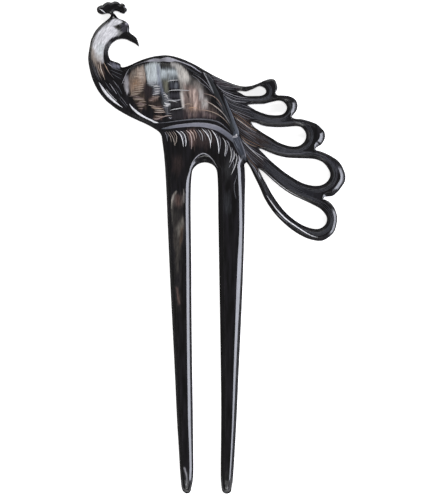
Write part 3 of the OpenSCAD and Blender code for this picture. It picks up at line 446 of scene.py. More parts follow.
# the engraved strokes, and painted highlights and glints drawn as strokes: a path, the width in millimetres,
# and the tint of the cut or of the painted highlight, or tints along it (a>b>c). A path with three numbers to a
# point gives its own widths
strokes = {
    "feathers": [
        ([(-13.86, 3.53), (-13.19, 1.92), (-12.92, 0.07)], 0.22, "ash>grey"),
        ([(-11.58, 3.78), (-10.61, 2.31), (-10.18, 0.7)], 0.16, "#8a7a6c"),
        ([(-9.13, 3.85), (-8.02, 2.31), (-7.52, 0.49)], 0.16, "grey"),
        ([(-7.38, 4.06), (-5.98, 2.59), (-5.49, 0.35)], 0.18, "#6a5f5c"),
        ([(-1.37, 4.41), (-0.03, 2.59), (0.46, 0.35)], 0.18, "#8a7a70>slate"),
        ([(0.03, 4.55), (1.37, 2.8), (1.72, 1.05)], 0.18, "ash"),
        ([(3.82, 3.36), (4.72, 1.61), (5.07, -0.35)], 0.18, "grey"),
        ([(7.59, 0.56), (8.43, -0.49), (8.86, -1.75)], 0.22, "ash"),
        ([(9.48, -1.89), (9.97, -3.29), (9.97, -5.11)], 0.20, "ash"),
        ([(10.88, -4.06), (11.31, -5.46), (11.17, -7.14)], 0.34, "bone>ash"),
        ([(9.83, -6.3), (10.18, -7.7), (9.77, -9.31)], 0.18, "grey"),
        ([(-12.71, 3.5), (-12.67, 2.62), (-12.81, 1.57)], 0.18, "grey"),
        ([(-12.39, 3.67), (-11.02, 1.4), (-10.36, -1.4)], 0.27, "buff"),
        ([(-10.92, 3.82), (-9.77, 2.1), (-9.83, 0.59), (-10.26, -1.26)], 0.26, "buff"),
        ([(-9.97, 4.02), (-8.37, 2.48), (-7.63, 0.35), (-7.35, -1.75)], 0.34, "white"),
        ([(-8.37, 3.88), (-7.03, 2.48), (-6.47, 0.35), (-6.62, -1.75)], 0.34, "white"),
        ([(-6.47, 4.09), (-5.01, 2.73), (-4.48, 0.07), (-4.62, -2.62)], 0.42, "#cdbcb6>#bba9a4>#8f7d79"),
        ([(-5.22, 4.2), (-4.02, 2.73), (-3.36, 0.35)], 0.38, "#d3bdb0>#a3908a"),
        ([(-3.88, 4.34), (-3.04, 3.01), (-2.69, 1.05)], 0.28, "#b59c90>#8c7871"),
        ([(-3.15, 4.41), (-2.07, 3.01), (-1.26, 0.52)], 0.21, "grey"),
        ([(-2.07, 4.27), (-0.94, 2.62), (-0.59, 0.17)], 0.30, "bone>ash"),
        ([(-0.88, 4.55), (0.73, 2.94), (1.86, 0.7), (2.13, -2.1)], 0.34, "white"),
        ([(1.08, 4.41), (2.07, 3.01), (2.38, 1.05), (2.17, -0.7)], 0.30, "bone"),
        ([(2.34, 4.27), (3.88, 2.21), (4.76, -0.46), (5.04, -4.2)], 0.34, "white"),
        ([(5.22, 2.1), (5.57, 0.07), (5.14, -3.43)], 0.24, "ash"),
        ([(6.23, 1.61), (7.17, 0.07), (7.42, -1.82), (7.03, -5.01)], 0.26, "bone"),
        ([(8.22, -0.73), (7.98, -2.62), (7.17, -5.28)], 0.26, "ash"),
        ([(8.86, -1.54), (9.34, -3.43), (9.31, -5.28), (8.78, -7.42)], 0.26, "bone"),
        ([(10.43, -3.08), (10.39, -5.28), (9.27, -7.42)], 0.26, "bone"),
        ([(11.2, -5.57), (10.99, -7.42), (9.34, -11.55)], 0.29, "bone"),
        ([(11.38, -11.55), (10.39, -15.4), (10.96, -19.95)], 0.16, "grey"),
        ([(-13.41, 3.64), (-12.07, 2.1), (-11.52, -0.14)], 0.20, "buff"),
        ([(-8.78, 3.78), (-7.46, 1.89), (-7.03, -0.35)], 0.22, "grey"),
        ([(7.03, 0.7), (7.81, -1.05), (7.73, -3.5)], 0.20, "ash"),
        ([(9.91, -2.8), (9.97, -5.6), (8.57, -9.1)], 0.22, "ash"),
    ],
    "neck": [
        ([
            (-36.5, 28.56), (-36.37, 26.95), (-36.15, 25.34), (-35.66, 24.08), (-35.24, 22.89),
            (-34.75, 21.49)], 0.32, "#c9bbae>#cfc0b2>#8a7a6c"),
        ([(-37.13, 27.23), (-36.92, 25.69), (-36.4, 24.5), (-35.8, 23.31)], 0.24, "#b5a698>#8d7b6c"),
        ([(-35.31, 27.86), (-34.82, 27.02), (-34.27, 25.9), (-33.7, 24.92), (-32.87, 23.52)],
         0.27, "#b39a86>#a38d7c>grey"),
        ([(-38.12, 28.49), (-37.41, 25.55), (-35.95, 21.56)], 0.18, "#7d7064"),
        ([(-33.98, 27.58), (-33.14, 26.95), (-32.16, 26.32)], 0.28, "ash"),
        ([(-37.83, 26.6), (-37.34, 24.5), (-36.43, 22.26)], 0.16, "grey"),
        ([(-39.58, 29.19), (-39.02, 26.25), (-37.41, 21.91)], 0.16, "smoke"),
        ([(-38.74, 28), (-38.12, 24.71), (-36.57, 21.14)], 0.18, "slate"),
        ([(-34.33, 26.46), (-33.42, 24.5), (-31.53, 22.05)], 0.18, "#5f4636>slate"),
        ([(-34.82, 21.14), (-33.63, 19.25), (-32.16, 17.36)], 0.18, "slate"),
        ([(-31.11, 18.69), (-30.13, 17.01), (-29.02, 14.84)], 0.20, "smoke"),
        ([(-30.41, 20.09), (-29.64, 18.55), (-28.73, 16.45)], 0.16, "slate"),
        ([(-36.02, 20.09), (-34.47, 17.57), (-32.73, 15.89), (-30.62, 14.35)], 0.16, "ash>slate"),
        ([(-33.18, 20.4), (-31.88, 18.55), (-30.55, 16.62)], 0.24, "ash"),
        ([(-32.02, 21.56), (-30.97, 20.3), (-29.85, 18.69)], 0.20, "grey"),
        ([(-32.73, 26.11), (-30.62, 25.27), (-28.52, 24.64)], 0.20, "slate"),
        ([(-32.93, 25.2), (-30.77, 24.15), (-28.73, 23.31)], 0.20, "smoke"),
        ([(-32.52, 24.01), (-30.77, 22.89), (-29.08, 21.84)], 0.18, "smoke"),
        ([(-29.36, 15.89), (-28.03, 14.21), (-26.77, 12.46)], 0.18, "grey"),
        ([(-30.13, 15.54), (-28.52, 13.65), (-27.12, 11.97)], 0.16, "slate"),
        # a painted highlight along the chest's ridge
        ([
            (-36.85, 20.86, 0.08), (-36.08, 19.39, 0.5), (-35.03, 17.85, 0.85), (-33.77, 16.24, 0.9),
            (-32.02, 14.56, 0.75), (-30.27, 13.16, 0.45), (-28.59, 11.97, 0.08)], 0, "white"),
        ([(-35.38, 17.71), (-33.56, 15.4), (-31.46, 13.65)], 0.20, "slate"),
        ([(-34.55, 18.55), (-32.65, 16.24), (-30.48, 14.14)], 0.22, "bone"),
        # a second painted highlight lower on the chest
        ([
            (-26.21, 13.23, 0.08), (-25.38, 12.04, 0.5), (-24.18, 10.85, 0.75), (-22.57, 9.59, 0.75),
            (-20.47, 8.4, 0.6), (-18.38, 7.42, 0.55), (-17.32, 6.86, 0.6), (-16.13, 6.72, 0.15)], 0, "white"),
        ([(-26.36, 25.62), (-27.33, 23.8), (-28.1, 22.05), (-28.87, 20.16)], 0.26, "ash"),
        # a painted glint on the crest
        ([(-36.85, 46.69), (-35.88, 46.06), (-34.75, 45.22)], 0.32, "white"),
    ],
    "wing": [
        ([(-12.92, 21.07), (-11.38, 21.42), (-9.13, 21.56)], 0.28, "bone"),
        ([(-12.77, 17.6), (-11.38, 17.95), (-9.27, 18.06), (-5.07, 17.85)], 0.28, "bone"),
        ([(-12.63, 14.56), (-11.38, 14.45), (-9.97, 14.49), (-8.57, 14.63), (-7.52, 14.84)],
         0.29, "bone>ash>bone"),
        ([(-12.07, 10.99), (-10.32, 11.41), (-8.22, 11.76), (-7.24, 12.11)], 0.30, "bone"),
        ([
            (-4.02, 23.94), (-2.27, 22.96), (-0.52, 21.56), (1.22, 19.74), (2.62, 17.85), (3.18, 16.94)],
         0.18, "grey>ash"),
        ([(-2.62, 21.49), (-0.52, 20.09), (0.88, 19.11), (1.92, 17.99), (3.12, 16.8)], 0.16, "grey"),
        ([(-1.22, 17.08), (0.88, 16.66), (2.97, 15.96), (4.38, 14.91), (5.42, 13.51), (6.27, 12.04)],
         0.24, "#6a5853>#98857a>#8b7671"),
        ([
            (-2.27, 14.28), (0.17, 14.21), (2.27, 13.37), (4.02, 12.18), (5.77, 10.71), (7.38, 8.82),
            (8.92, 6.3)], 0.30, "rose>#b3a79d>ash"),
        ([(-3.32, 11.2), (0.52, 10.99), (3.32, 10.22), (5.42, 9.1), (7.17, 7.63), (8.78, 5.6)],
         0.24, "#8f6f5a>tan>#8a7a70"),
        ([(-7.17, 12.95), (-5.77, 13.23), (-4.02, 13.02)], 0.2, "#a8937f"),
        ([(-5.77, 11.69), (-4.02, 11.97), (-2.27, 11.69)], 0.2, "#b08a6c"),
        ([(2.62, 7.56), (4.38, 7.21), (5.77, 6.51), (7.17, 5.39)], 0.20, "grey"),
        ([(4.02, 14.14), (5.42, 12.6), (6.82, 10.5)], 0.16, "grey"),
        ([(-4.52, 23.31), (-2.62, 22.05), (-1.02, 20.3)], 0.16, "grey"),
        ([
            (-16.27, 6.51), (-12.77, 6.86), (-8.37, 7.45), (-3.01, 7.91), (2.34, 7.63), (5.22, 6.65),
            (7.7, 4.83), (9.42, 3.08)], 0.40, "#55575c>#5d5d64>#4c4d54"),
    ],
    "hatch": [
        ([(-23.1, 19.74), (-22.22, 19.91), (-21.17, 19.95)], 0.26, "tan"),
        ([(-24.5, 19), (-22.57, 19.18), (-21.17, 19.39)], 0.28, "tan"),
        ([(-24.32, 18.3), (-22.57, 18.48), (-21, 18.58)], 0.28, "tan"),
        ([(-25.38, 17.25), (-23.62, 17.57), (-21.24, 17.78)], 0.29, "tan"),
        ([(-25.9, 16.62), (-23.97, 16.77), (-22.43, 17.01)], 0.28, "tan"),
        ([(-26.42, 15.96), (-24.67, 16.1), (-23.62, 15.82), (-22.43, 15.75)], 0.24, "rose"),
        ([(-25.16, 15.22), (-22.92, 15.29), (-21.03, 15.12)], 0.28, "rose"),
        ([(-24.67, 14.63), (-22.57, 14.7), (-20.82, 14.63)], 0.21, "tan"),
        ([(-22.92, 14.03), (-21.52, 14.17), (-20.33, 14)], 0.22, "tan"),
        ([(-23.97, 13.3), (-22.22, 13.2), (-20.12, 13.09)], 0.29, "rose"),
        ([(-23.62, 12.57), (-22.22, 12.5), (-20.82, 12.6)], 0.26, "tan"),
        ([(-23.07, 11.72), (-22.22, 11.62), (-21.32, 11.65)], 0.24, "rose"),
        ([(-23.62, 20.79), (-22.57, 20.93), (-21.38, 20.86)], 0.17, "tan"),
        ([(-25.72, 23.31), (-24.67, 23.45), (-23.48, 23.38)], 0.16, "#5a4a40"),
        ([(-23.97, 24.36), (-22.92, 24.5), (-21.66, 24.43)], 0.16, "#66564b"),
        ([(-22.78, 23.03), (-21.88, 23.13), (-20.96, 23.1)], 0.16, "#5f5046"),
        ([(-25.23, 21.98), (-23.97, 22.12), (-22.71, 22.05)], 0.16, "#55463c"),
        ([(-23.27, 21.84), (-22.22, 21.91), (-20.89, 21.84)], 0.16, "#66564b"),
        ([(-24.67, 22.75), (-23.62, 22.82), (-22.57, 22.68)], 0.15, "#c0ab98"),
        ([(-23.41, 23.8), (-22.43, 23.87), (-21.38, 23.73)], 0.15, "#c0ab98"),
        ([(-25.52, 20.86), (-24.82, 20.93), (-23.97, 20.86)], 0.16, "#57483e"),
        ([(-19.63, 21.28), (-18.93, 21.38), (-18.23, 21.32)], 0.21, "ash"),
        ([(-20.19, 20.4), (-18.38, 20.37), (-16.91, 20.2)], 0.26, "ash"),
        ([(-18.87, 19.81), (-18.23, 19.67), (-17.53, 19.95)], 0.21, "ash"),
        ([(-18.02, 19), (-16.97, 19.28), (-15.51, 19.42)], 0.29, "bone"),
        ([(-17.82, 18.38), (-16.27, 18.58), (-15.37, 18.62)], 0.26, "bone"),
        ([(-17.53, 17.5), (-16.27, 17.64), (-15.29, 17.78)], 0.29, "bone"),
        ([(-18.23, 21.1), (-16.97, 21.17), (-15.78, 21)], 0.20, "ash"),
        ([(-17.88, 17.92), (-16.62, 18.06), (-15.43, 18.2)], 0.20, "ash"),
        ([(-18.02, 17.04), (-16.77, 17.18), (-15.43, 17.36)], 0.20, "ash"),
        ([(-18.23, 19.46), (-17.32, 19.53), (-16.27, 19.67)], 0.20, "bone"),
        ([(-25.52, 16.31), (-24.32, 16.45), (-22.92, 16.38)], 0.18, "tan"),
        ([(-24.88, 14.91), (-23.27, 14.98), (-21.38, 14.84)], 0.20, "tan"),
        ([(-23.41, 12.88), (-22.22, 12.81), (-20.68, 12.88)], 0.18, "rose"),
        ([(-18.16, 16.48), (-16.97, 16.7), (-15.57, 16.97)], 0.29, "bone"),
        ([(-18.31, 15.89), (-17.53, 15.64), (-16.48, 15.61), (-15.57, 15.75)], 0.22, "tan"),
        ([(-18.93, 14.8), (-17.67, 15.08), (-16.13, 15.37)], 0.31, "#74625f"),
        ([(-19.36, 14.52), (-18.72, 14.38), (-18.02, 14.56)], 0.21, "rose"),
        ([(-19.63, 12.88), (-18.52, 12.6), (-16.97, 12.39)], 0.26, "#a8988a"),
        ([(-18.58, 11.9), (-16.62, 11.69), (-14.32, 11.55)], 0.32, "#b39f8e"),
        ([(-17.53, 11.13), (-15.92, 11.02), (-14.03, 10.92)], 0.28, "#b3a79d"),
        ([(-17.67, 10.36), (-16.27, 10.32), (-13.62, 10.39)], 0.36, "#bba99e"),
        ([(-18.72, 12.18), (-17.32, 12.14), (-15.57, 12.04)], 0.18, "#8b7671"),
        ([(-17.46, 9), (-16.62, 9.03), (-15.57, 8.96)], 0.26, "#85736a"),
        ([(-18.09, 8.26), (-16.27, 8.15), (-14.87, 8.61), (-13.12, 9.1), (-11.38, 9.1)],
         0.30, "#a08f88>#8b7671>#b5a8a0"),
        ([(-17.82, 7.84), (-16.62, 7.8), (-15.43, 8.19)], 0.29, "rose"),
        ([(-14.52, 16.66), (-13.47, 16.31), (-12.71, 15.85)], 0.29, "bone"),
        ([(-14.17, 15.75), (-13.12, 15.61), (-12.77, 14.98)], 0.29, "bone"),
        ([(-13.47, 14.17), (-12.42, 14.38), (-10.67, 14.14), (-9.27, 13.75)], 0.24, "bone"),
        ([(-14.11, 13.65), (-13.12, 13.27), (-11.79, 13.16)], 0.33, "white"),
        ([(-14.17, 12.46), (-13.12, 12.67), (-12.14, 12.5)], 0.28, "bone"),
        ([(-12.42, 8.75), (-11.9, 8.19), (-11.44, 8.57)], 0.28, "ash"),
        ([(-23.48, 13.58), (-22.57, 13.65), (-21.38, 13.54)], 0.20, "rose"),
        ([(-25.02, 19.6), (-23.97, 19.74), (-23.07, 19.81)], 0.18, "tan"),
        ([(-23.83, 20.23), (-22.92, 20.37), (-21.88, 20.33)], 0.18, "#7d6858"),
        ([(-24.12, 21.49), (-23.13, 21.59), (-22.08, 21.49)], 0.16, "#7d6858"),
        ([(-14.38, 12.81), (-13.62, 12.53), (-12.57, 12.35)], 0.3, "bone"),
        ([(-18.52, 12.18), (-16.62, 12.28), (-14.67, 12.39)], 0.16, "#74625f"),
        ([(-16.97, 8.68), (-15.57, 8.78), (-14.03, 8.96)], 0.18, "tan"),
        ([(-13.82, 12.95), (-12.77, 12.98), (-11.66, 12.77)], 0.24, "bone"),
        ([(-13.97, 14.77), (-12.77, 14.91), (-11.23, 14.77)], 0.20, "ash"),
        ([(-14.67, 17.29), (-13.97, 17.01), (-13.33, 16.52)], 0.22, "ash"),
        ([(-14.94, 11.83), (-13.82, 11.9), (-12.63, 11.62)], 0.20, "grey"),
        ([(-13.12, 10.08), (-12.28, 9.87), (-11.38, 10.01)], 0.18, "grey"),
        ([(-19.28, 20.86), (-18.38, 20.86), (-17.32, 20.72)], 0.18, "#7a7c82"),
        ([(-16.48, 22.05), (-15.78, 21.91), (-15.02, 21.84)], 0.16, "#8a8e96"),
    ],
    "gap": [
        # a painted highlight along the bevel over the gap
        ([
            (-4.93, -8.96), (-4.23, -7.21), (-3.18, -5.74), (-1.99, -4.66), (-0.46, -4.02), (1.22, -4.66),
            (3.04, -6.51), (4.66, -9.1)], 0.38, "ash"),
    ],
    # fine lines from the bar into the roots of the tail
    "roots": [
        ([(2.27, 22.96), (3.67, 22.75), (5.22, 21.91)], 0.20, "grey"),
        ([(2.62, 21.84), (4.38, 21.91), (6.12, 21.49), (8.02, 20.79)], 0.20, "grey"),
        ([(4.02, 20.65), (5.77, 20.93), (7.52, 20.65), (9.27, 20.09), (11.17, 19.39)], 0.22, "grey"),
        ([(4.38, 20.09), (6.12, 19.6), (8.22, 19.25), (10.32, 19.04), (12.28, 18.76)], 0.18, "grey"),
        ([(4.72, 19.39), (6.47, 18.69), (8.57, 18.41), (10.82, 18.2)], 0.16, "slate"),
        ([
            (4.02, 20.3), (5.42, 18.69), (7.17, 17.5), (9.27, 16.66), (11.38, 15.89), (13.47, 15.47),
            (15.92, 15.33)], 0.24, "ash>ash>grey"),
        ([
            (5.77, 17.85), (7.52, 16.73), (9.62, 15.75), (11.72, 15.05), (14.52, 14.84), (17.67, 14.98)],
         0.22, "ash>grey>slate"),
        ([(6.47, 16.66), (8.22, 15.4), (9.97, 14.49), (12.42, 14), (15.02, 13.86)], 0.20, "ash"),
        ([(7.17, 15.54), (8.57, 14.7), (10.67, 13.65), (12.92, 13.02)], 0.16, "grey"),
        ([(7.38, 14.84), (8.92, 13.44), (11.02, 12.46), (13.47, 11.69), (16.27, 11.06)], 0.20, "grey"),
        ([(7.87, 13.65), (9.62, 12.25), (12.07, 11.27), (14.52, 10.5), (17.32, 9.59)], 0.16, "slate"),
        ([(8.57, 11.9), (10.32, 10.85), (12.42, 10.08), (14.87, 9.1), (17.67, 7.98)],
         0.22, "ash>#6e6d73>slate"),
        ([(12.77, 13.02), (14.52, 12.39), (16.27, 11.83), (17.82, 11.06)], 0.18, "grey"),
        ([(9.48, 10.71), (11.38, 9.94), (13.47, 8.75), (15.92, 7.7)], 0.16, "grey"),
        ([(9.97, 10.15), (11.72, 9.1), (13.47, 7.84), (15.22, 6.44), (16.77, 5.25)], 0.24, "#5f4636"),
        ([(10.18, 9.1), (11.72, 7.98), (13.47, 6.65), (15.22, 5.32), (16.97, 4.41), (18.72, 3.64)],
         0.24, "#9b8471>#7d6858"),
        ([(10.67, 8.26), (12.42, 7.14), (14.52, 5.6), (16.62, 3.99), (18.51, 3.01)], 0.22, "bone>ash>grey"),
        ([(11.02, 7), (12.77, 5.6), (14.52, 4.34), (16.62, 2.94), (19.21, 1.26)], 0.18, "slate"),
        ([(12.77, 4.41), (14.87, 3.5), (16.97, 2.8), (19.07, 1.89)], 0.16, "#6a5853"),
        ([(11.58, 5.6), (13.47, 4.06), (15.57, 2.66), (18.16, 1.05)], 0.18, "grey"),
        ([(12.07, 4.2), (13.82, 3.15), (15.92, 1.61), (18.38, -0.21), (20.26, -1.47)], 0.18, "slate"),
        ([(12.42, 2.59), (14.52, 0.91), (16.62, -0.14), (18.72, -1.19), (20.61, -1.89)], 0.22, "#5f4636"),
        ([(12.77, 1.75), (14.52, 0), (16.27, -1.05), (18.38, -1.82)], 0.22, "#a08a76>#7d6858"),
        ([
            (12.77, 0.91), (14.52, -0.7), (16.27, -2.45), (18.38, -3.99), (20.47, -5.25), (22.44, -6.44)],
         0.20, "ash"),
        ([(13.12, 0.35), (15.22, -1.75), (16.97, -3.36), (18.72, -4.9), (20.61, -6.51)], 0.16, "bone"),
        ([(13.47, -1.05), (14.87, -3.15), (16.62, -4.9), (18.72, -6.65), (21.04, -8.61)], 0.16, "slate"),
        ([(13.82, -2.45), (15.22, -4.55), (16.62, -6.3), (18.51, -8.19)], 0.18, "grey"),
        ([(14.17, -3.85), (15.57, -5.95), (17.32, -8.05), (19.07, -10.29)], 0.18, "#5f4636"),
        ([(14.52, -5.25), (15.92, -7.21), (17.67, -9.45), (19.21, -12.11)], 0.16, "ash"),
        ([(15.08, -6.44), (16.62, -8.68), (18.02, -10.99), (19.56, -13.93)], 0.16, "grey"),
    ],
    "barAndKnot": [
        # painted highlights along both sides of the bar, and painted sheen and dark lines on the knot
        ([
            (-0.32, 24.29, 0.15), (0.38, 22.96, 0.5), (1.08, 21.49, 0.62), (1.86, 19.88, 0.6),
            (2.56, 18.41, 0.5), (3.26, 17.01, 0.15)], 0, "#a3a4a9>#83858c"),
        ([(1.02, 23.87), (2.13, 22.54), (3.32, 20.93)], 0.22, "#5b5d66"),
        ([(7.03, 15.75), (8.22, 12.6), (9.27, 10.01)], 0.16, "#6d727c"),
        ([(8.72, 11.9), (9.97, 8.54), (11.02, 5.46)], 0.18, "#6d727c"),
        ([(10.18, 7.7), (11.17, 5.04), (11.72, 3.01)], 0.18, "#5c616b"),
        ([(7.73, 14.35), (8.92, 11.2), (10.12, 8.19), (11.17, 5.39)], 0.14, "#202228"),
        ([(9.62, 9.8), (10.82, 6.65), (11.66, 3.71)], 0.14, "#202228"),
        ([(10.32, 0.91), (11.09, -0.84), (11.87, -2.45)], 0.24, "#7b7e88"),
        ([(11.17, 1.54), (11.93, -0.21), (12.42, -1.4)], 0.20, "#5f636d"),
        ([(10.82, 1.26), (11.87, -1.4), (12.98, -4.06)], 0.18, "#585c66"),
        ([(12.36, 0.21), (13.47, -2.24), (14.38, -5.11)], 0.20, "#585c66"),
        ([(11.93, 1.26), (12.63, -0.91), (13.47, -3.36)], 0.22, "#17181d"),
        ([(11.23, -1.61), (12.28, -4.06), (13.33, -6.44)], 0.20, "#1b1d22"),
        ([(12.63, -1.75), (13.62, -4.06), (14.32, -6.3)], 0.16, "#1b1d22"),
    ],
    "tail": [
        # a painted highlight along the inner edge of the lowest loop's strand
        ([
            (21.74, -18.69), (23.41, -21.14), (25.59, -24.01), (28.74, -27.16), (32.38, -29.75),
            (35.17, -31.57), (37.62, -32.83), (39.51, -33.39)], 0.42, "white"),
        ([(24.89, -24.5), (26.99, -26.6), (29.22, -28.42)], 0.20, "ash"),
        ([
            (20.34, -9.66), (22.51, -11.55), (24.92, -13.72), (26.67, -15.19), (28.42, -16.48),
            (30.17, -17.61), (31.92, -18.55), (33.67, -19.42), (35.42, -20.23), (37.27, -21.07)],
         0.24, "ash>white>bone>grey"),
        ([(15.02, -8.4), (16.27, -10.85), (17.67, -13.65), (19.29, -16.59), (20.82, -18.9)], 0.16, "grey"),
        ([(20.82, -2.24), (24.67, -3.36), (29.22, -4.06), (33.42, -3.99), (37.97, -3.43)], 0.26, "slate"),
        # painted glints on the knot
        ([(9.77, 1.47), (10.53, 1.75), (11.66, 1.96)], 0.8, "ash"),
        ([(9.87, 1.54), (10.18, 1.82), (10.5, 2.13)], 0.42, "white"),
        ([(10.88, 1.96), (11.09, 2.31), (11.31, 2.77)], 0.46, "white"),
        ([(12.42, 0.56), (13.54, -2.1), (14.59, -5.95)], 0.22, "grey"),
        # a painted highlight on the right prong's bevel below the knot
        ([(11.93, -4.55), (12.28, -6.65), (12.07, -9.8)], 0.6, "ash"),
    ],
}

# fine lines that run round each opening, along the middle of its strands, broken at random
strandLines = {
    "seed": 7, "clear": 1.02, "width": 0.17,
    "rows": [(1.25, "#303136"), (1.50, "#3e3f46"), (1.75, "#28292e"), (2.0, "#3c3d44"), (2.35, "#343539")],
    "rightOf": 12.0,          # none in the roots of the tail
    "points": (24, 90),       # how long a line may be
    "shortest": 12,
    "jump": 1.5,              # a line ends where the next point is further off
    "every": 3,               # one point in three is kept
}
# finer lines between those in the roots of the tail, where two start within reach
rootLines = {"reach": 2.2, "step": 0.5, "points": 9, "width": 0.14, "tint": "smoke"}


def inwardNormals(run):
    # unit vectors to the left of a loop's steps: into the horn
    normal = np.column_stack([-run[:, 1], run[:, 0]])
    return normal / np.maximum(np.linalg.norm(normal, axis=1), 1e-9)[:, None]


def strandPaths():
    rng = np.random.default_rng(strandLines["seed"])
    paths = []
    for loop in loops[1:]:
        normal = inwardNormals(np.roll(loop, -2, axis=0) - np.roll(loop, 2, axis=0))
        for distance, tint in strandLines["rows"]:
            moved = loop + normal * distance
            good = (edgeDistance(moved) > strandLines["clear"]) & (moved[:, 0] > strandLines["rightOf"])
            run, longest = [], rng.integers(*strandLines["points"])
            for k in range(len(moved)):
                step = np.linalg.norm(moved[k] - run[-1]) if run else 0.0
                if good[k] and step < strandLines["jump"] and len(run) < longest:
                    run.append(moved[k])
                elif run:
                    if len(run) > strandLines["shortest"]:
                        paths.append((run[::strandLines["every"]], strandLines["width"], tint))
                    run, longest = [], rng.integers(*strandLines["points"])
            if len(run) > strandLines["shortest"]:
                paths.append((run[::strandLines["every"]], strandLines["width"], tint))
    return paths


def betweenLines(lines, reach, step, points, width, tint):
    # a finer line half way between neighbours that start close together
    made = []
    for (first, _, _), (second, _, _) in zip(lines, lines[1:]):
        if math.dist(first[0], second[0]) > reach:
            continue
        pair = [smoothPath(path, step) for path in (first, second)]
        rows = [row[np.linspace(0, len(row) - 1, points).astype(int)] for row in pair]
        made.append((((rows[0] + rows[1]) / 2)[:-1], width, tint))
    return made


strokes["strands"] = strandPaths()
strokes["betweenRoots"] = betweenLines(strokes["roots"], **rootLines)

# the carved piece has rings of points along every edge and an even grid between them
net = {
    "rings": (0.2, 0.42, 0.63, 0.9, 1.15, 1.4, 1.65, 1.85),    # how far in from the outline
    "ringShare": 0.93,        # a ring's point this share of that from every edge is kept
    "bent": 0.85, "fan": (0.0, 0.2, 0.4, 0.6, 0.8, 1.0),       # corners get a fan of points
    "beside": 0.07, "ridgeShare": 0.95,       # rows on both sides of the bevels' ridges
    "wingRows": (-0.9, -0.6, -0.4, -0.2, 0.0, 0.2, 0.4, 0.6, 0.9),      # rows along the wing's edge
    "cutRows": (-0.5, -0.3, -0.15, 0.0, 0.15, 0.3, 0.5), "cutStep": 0.3,    # and along the feather cuts
    "rowClear": 0.5,          # how far these rows stay from the outline
    # the search for the line where two bevels meet, and which of its points are kept
    "widest": 3.2, "halvings": 11, "slack": 0.008, "meetLeast": 0.15, "meetPast": 0.12,
    # grids: step, distance from the outline, least gap to other points
    "wingGrid": (0.24, 1.9, 0.17), "faceGrid": (0.34, 1.98, 0.24), "backGrid": (2.2, 1.4, 1.0),
    # least gaps of the other points
    "meetGap": 0.15, "ridgeGap": 0.06, "guideGap": 0.12, "ringGap": 0.16, "backGap": 0.3,
    "sharp": 36,              # degrees from which an edge is shaded sharp
}


def insideGrid(step, clear):
    low, high = edgeStart.min(0), edgeStart.max(0)
    rows = []
    y, odd = low[1] + step, 0
    while y < high[1]:
        xs = np.arange(low[0] + odd * step / 2, high[0], step)
        xs = xs[insideRows(xs, y)]
        rows.append(np.column_stack([xs, np.full(len(xs), y)]))
        y += step * math.sqrt(3) / 2
        odd = 1 - odd
    grid = np.vstack(rows)
    return grid[edgeDistance(grid) > clear]


def insetRing(distance, every=1):
    ring = []
    for loop in loops:
        normal = inwardNormals(np.roll(loop, -1, axis=0) - loop)
        before = np.roll(normal, 1, axis=0)
        bent = (before * normal).sum(1) < net["bent"]
        middle = before + normal
        middle /= np.maximum(np.linalg.norm(middle, axis=1), 1e-6)[:, None]
        ring.append((loop + middle * distance)[::every])
        for share in net["fan"]:
            side = before[bent] * (1 - share) + normal[bent] * share
            side /= np.maximum(np.linalg.norm(side, axis=1), 1e-6)[:, None]
            ring.append(loop[bent] + side * distance)
    ring = np.vstack(ring)
    return ring[edgeDistance(ring) > distance * net["ringShare"]]


def ridgeRings():
    # rows of points close on both sides of the bevels' ridges, which keep them crisp
    rows = []
    for loop in loops:
        normal = inwardNormals(np.roll(loop, -1, axis=0) - np.roll(loop, 1, axis=0))
        width = bevelWidth(loop + normal)
        turn = width * turnShare(loop + normal)
        for ridge in (turn, width):
            for distance in (ridge - net["beside"], ridge, ridge + net["beside"]):
                row = loop + normal * distance[:, None]
                rows.append(row[edgeDistance(row) > distance * net["ridgeShare"]])
    return np.vstack(rows)


def thinOut(points, fixed, gap):
    # keeps points that are no closer than gap to one kept before
    cells = {}
    for x, y in fixed:
        cells.setdefault((int(x // gap), int(y // gap)), []).append((x, y))
    out = []
    for x, y in points:
        i, j = int(x // gap), int(y // gap)
        near = [q for a in (i - 1, i, i + 1) for b in (j - 1, j, j + 1) for q in cells.get((a, b), ())]
        if all((x - q[0]) ** 2 + (y - q[1]) ** 2 > gap * gap for q in near):
            cells.setdefault((i, j), []).append((x, y))
            out.append((x, y))
    return np.array(out)


def skin(points):
    # triangles between the outline loops; the first points are the outline's
    edges = []
    for k in range(len(loops)):
        size = loopFirst[k + 1] - loopFirst[k]
        edges += [(loopFirst[k] + i, loopFirst[k] + (i + 1) % size) for i in range(size)]
    inner, tolerance, withOrigins = 1, 1e-6, True    # inner: only triangles inside the loops
    made = delaunay_2d_cdt([Vector(p) for p in points], edges, [], inner, tolerance, withOrigins)
    origin = [o[0] if o else -1 for o in made[3]]
    faces = []
    for face in made[2]:
        ids = [origin[i] for i in face]
        if min(ids) < 0:
            continue
        if max(ids) < len(edgeStart):      # all on the outline: may lie in an opening
            middle = points[ids].mean(0)
            if not insideRows(np.array([middle[0]]), middle[1])[0]:
                continue
        faces.append(ids)
    return faces


def guidePoints():
    # points along the cut lines, so that the mesh follows them
    paths = [(wingEdge, net["wingRows"])]
    paths += [(smoothPath(stroke[0], net["cutStep"]), net["cutRows"]) for stroke in strokes["feathers"]]
    rows = []
    for path, offsets in paths:
        normal = inwardNormals(np.gradient(path[:, :2], axis=0))
        rows += [path[:, :2] + normal * offset for offset in offsets]
    rows = np.vstack(rows)
    return rows[edgeDistance(rows) > net["rowClear"]]


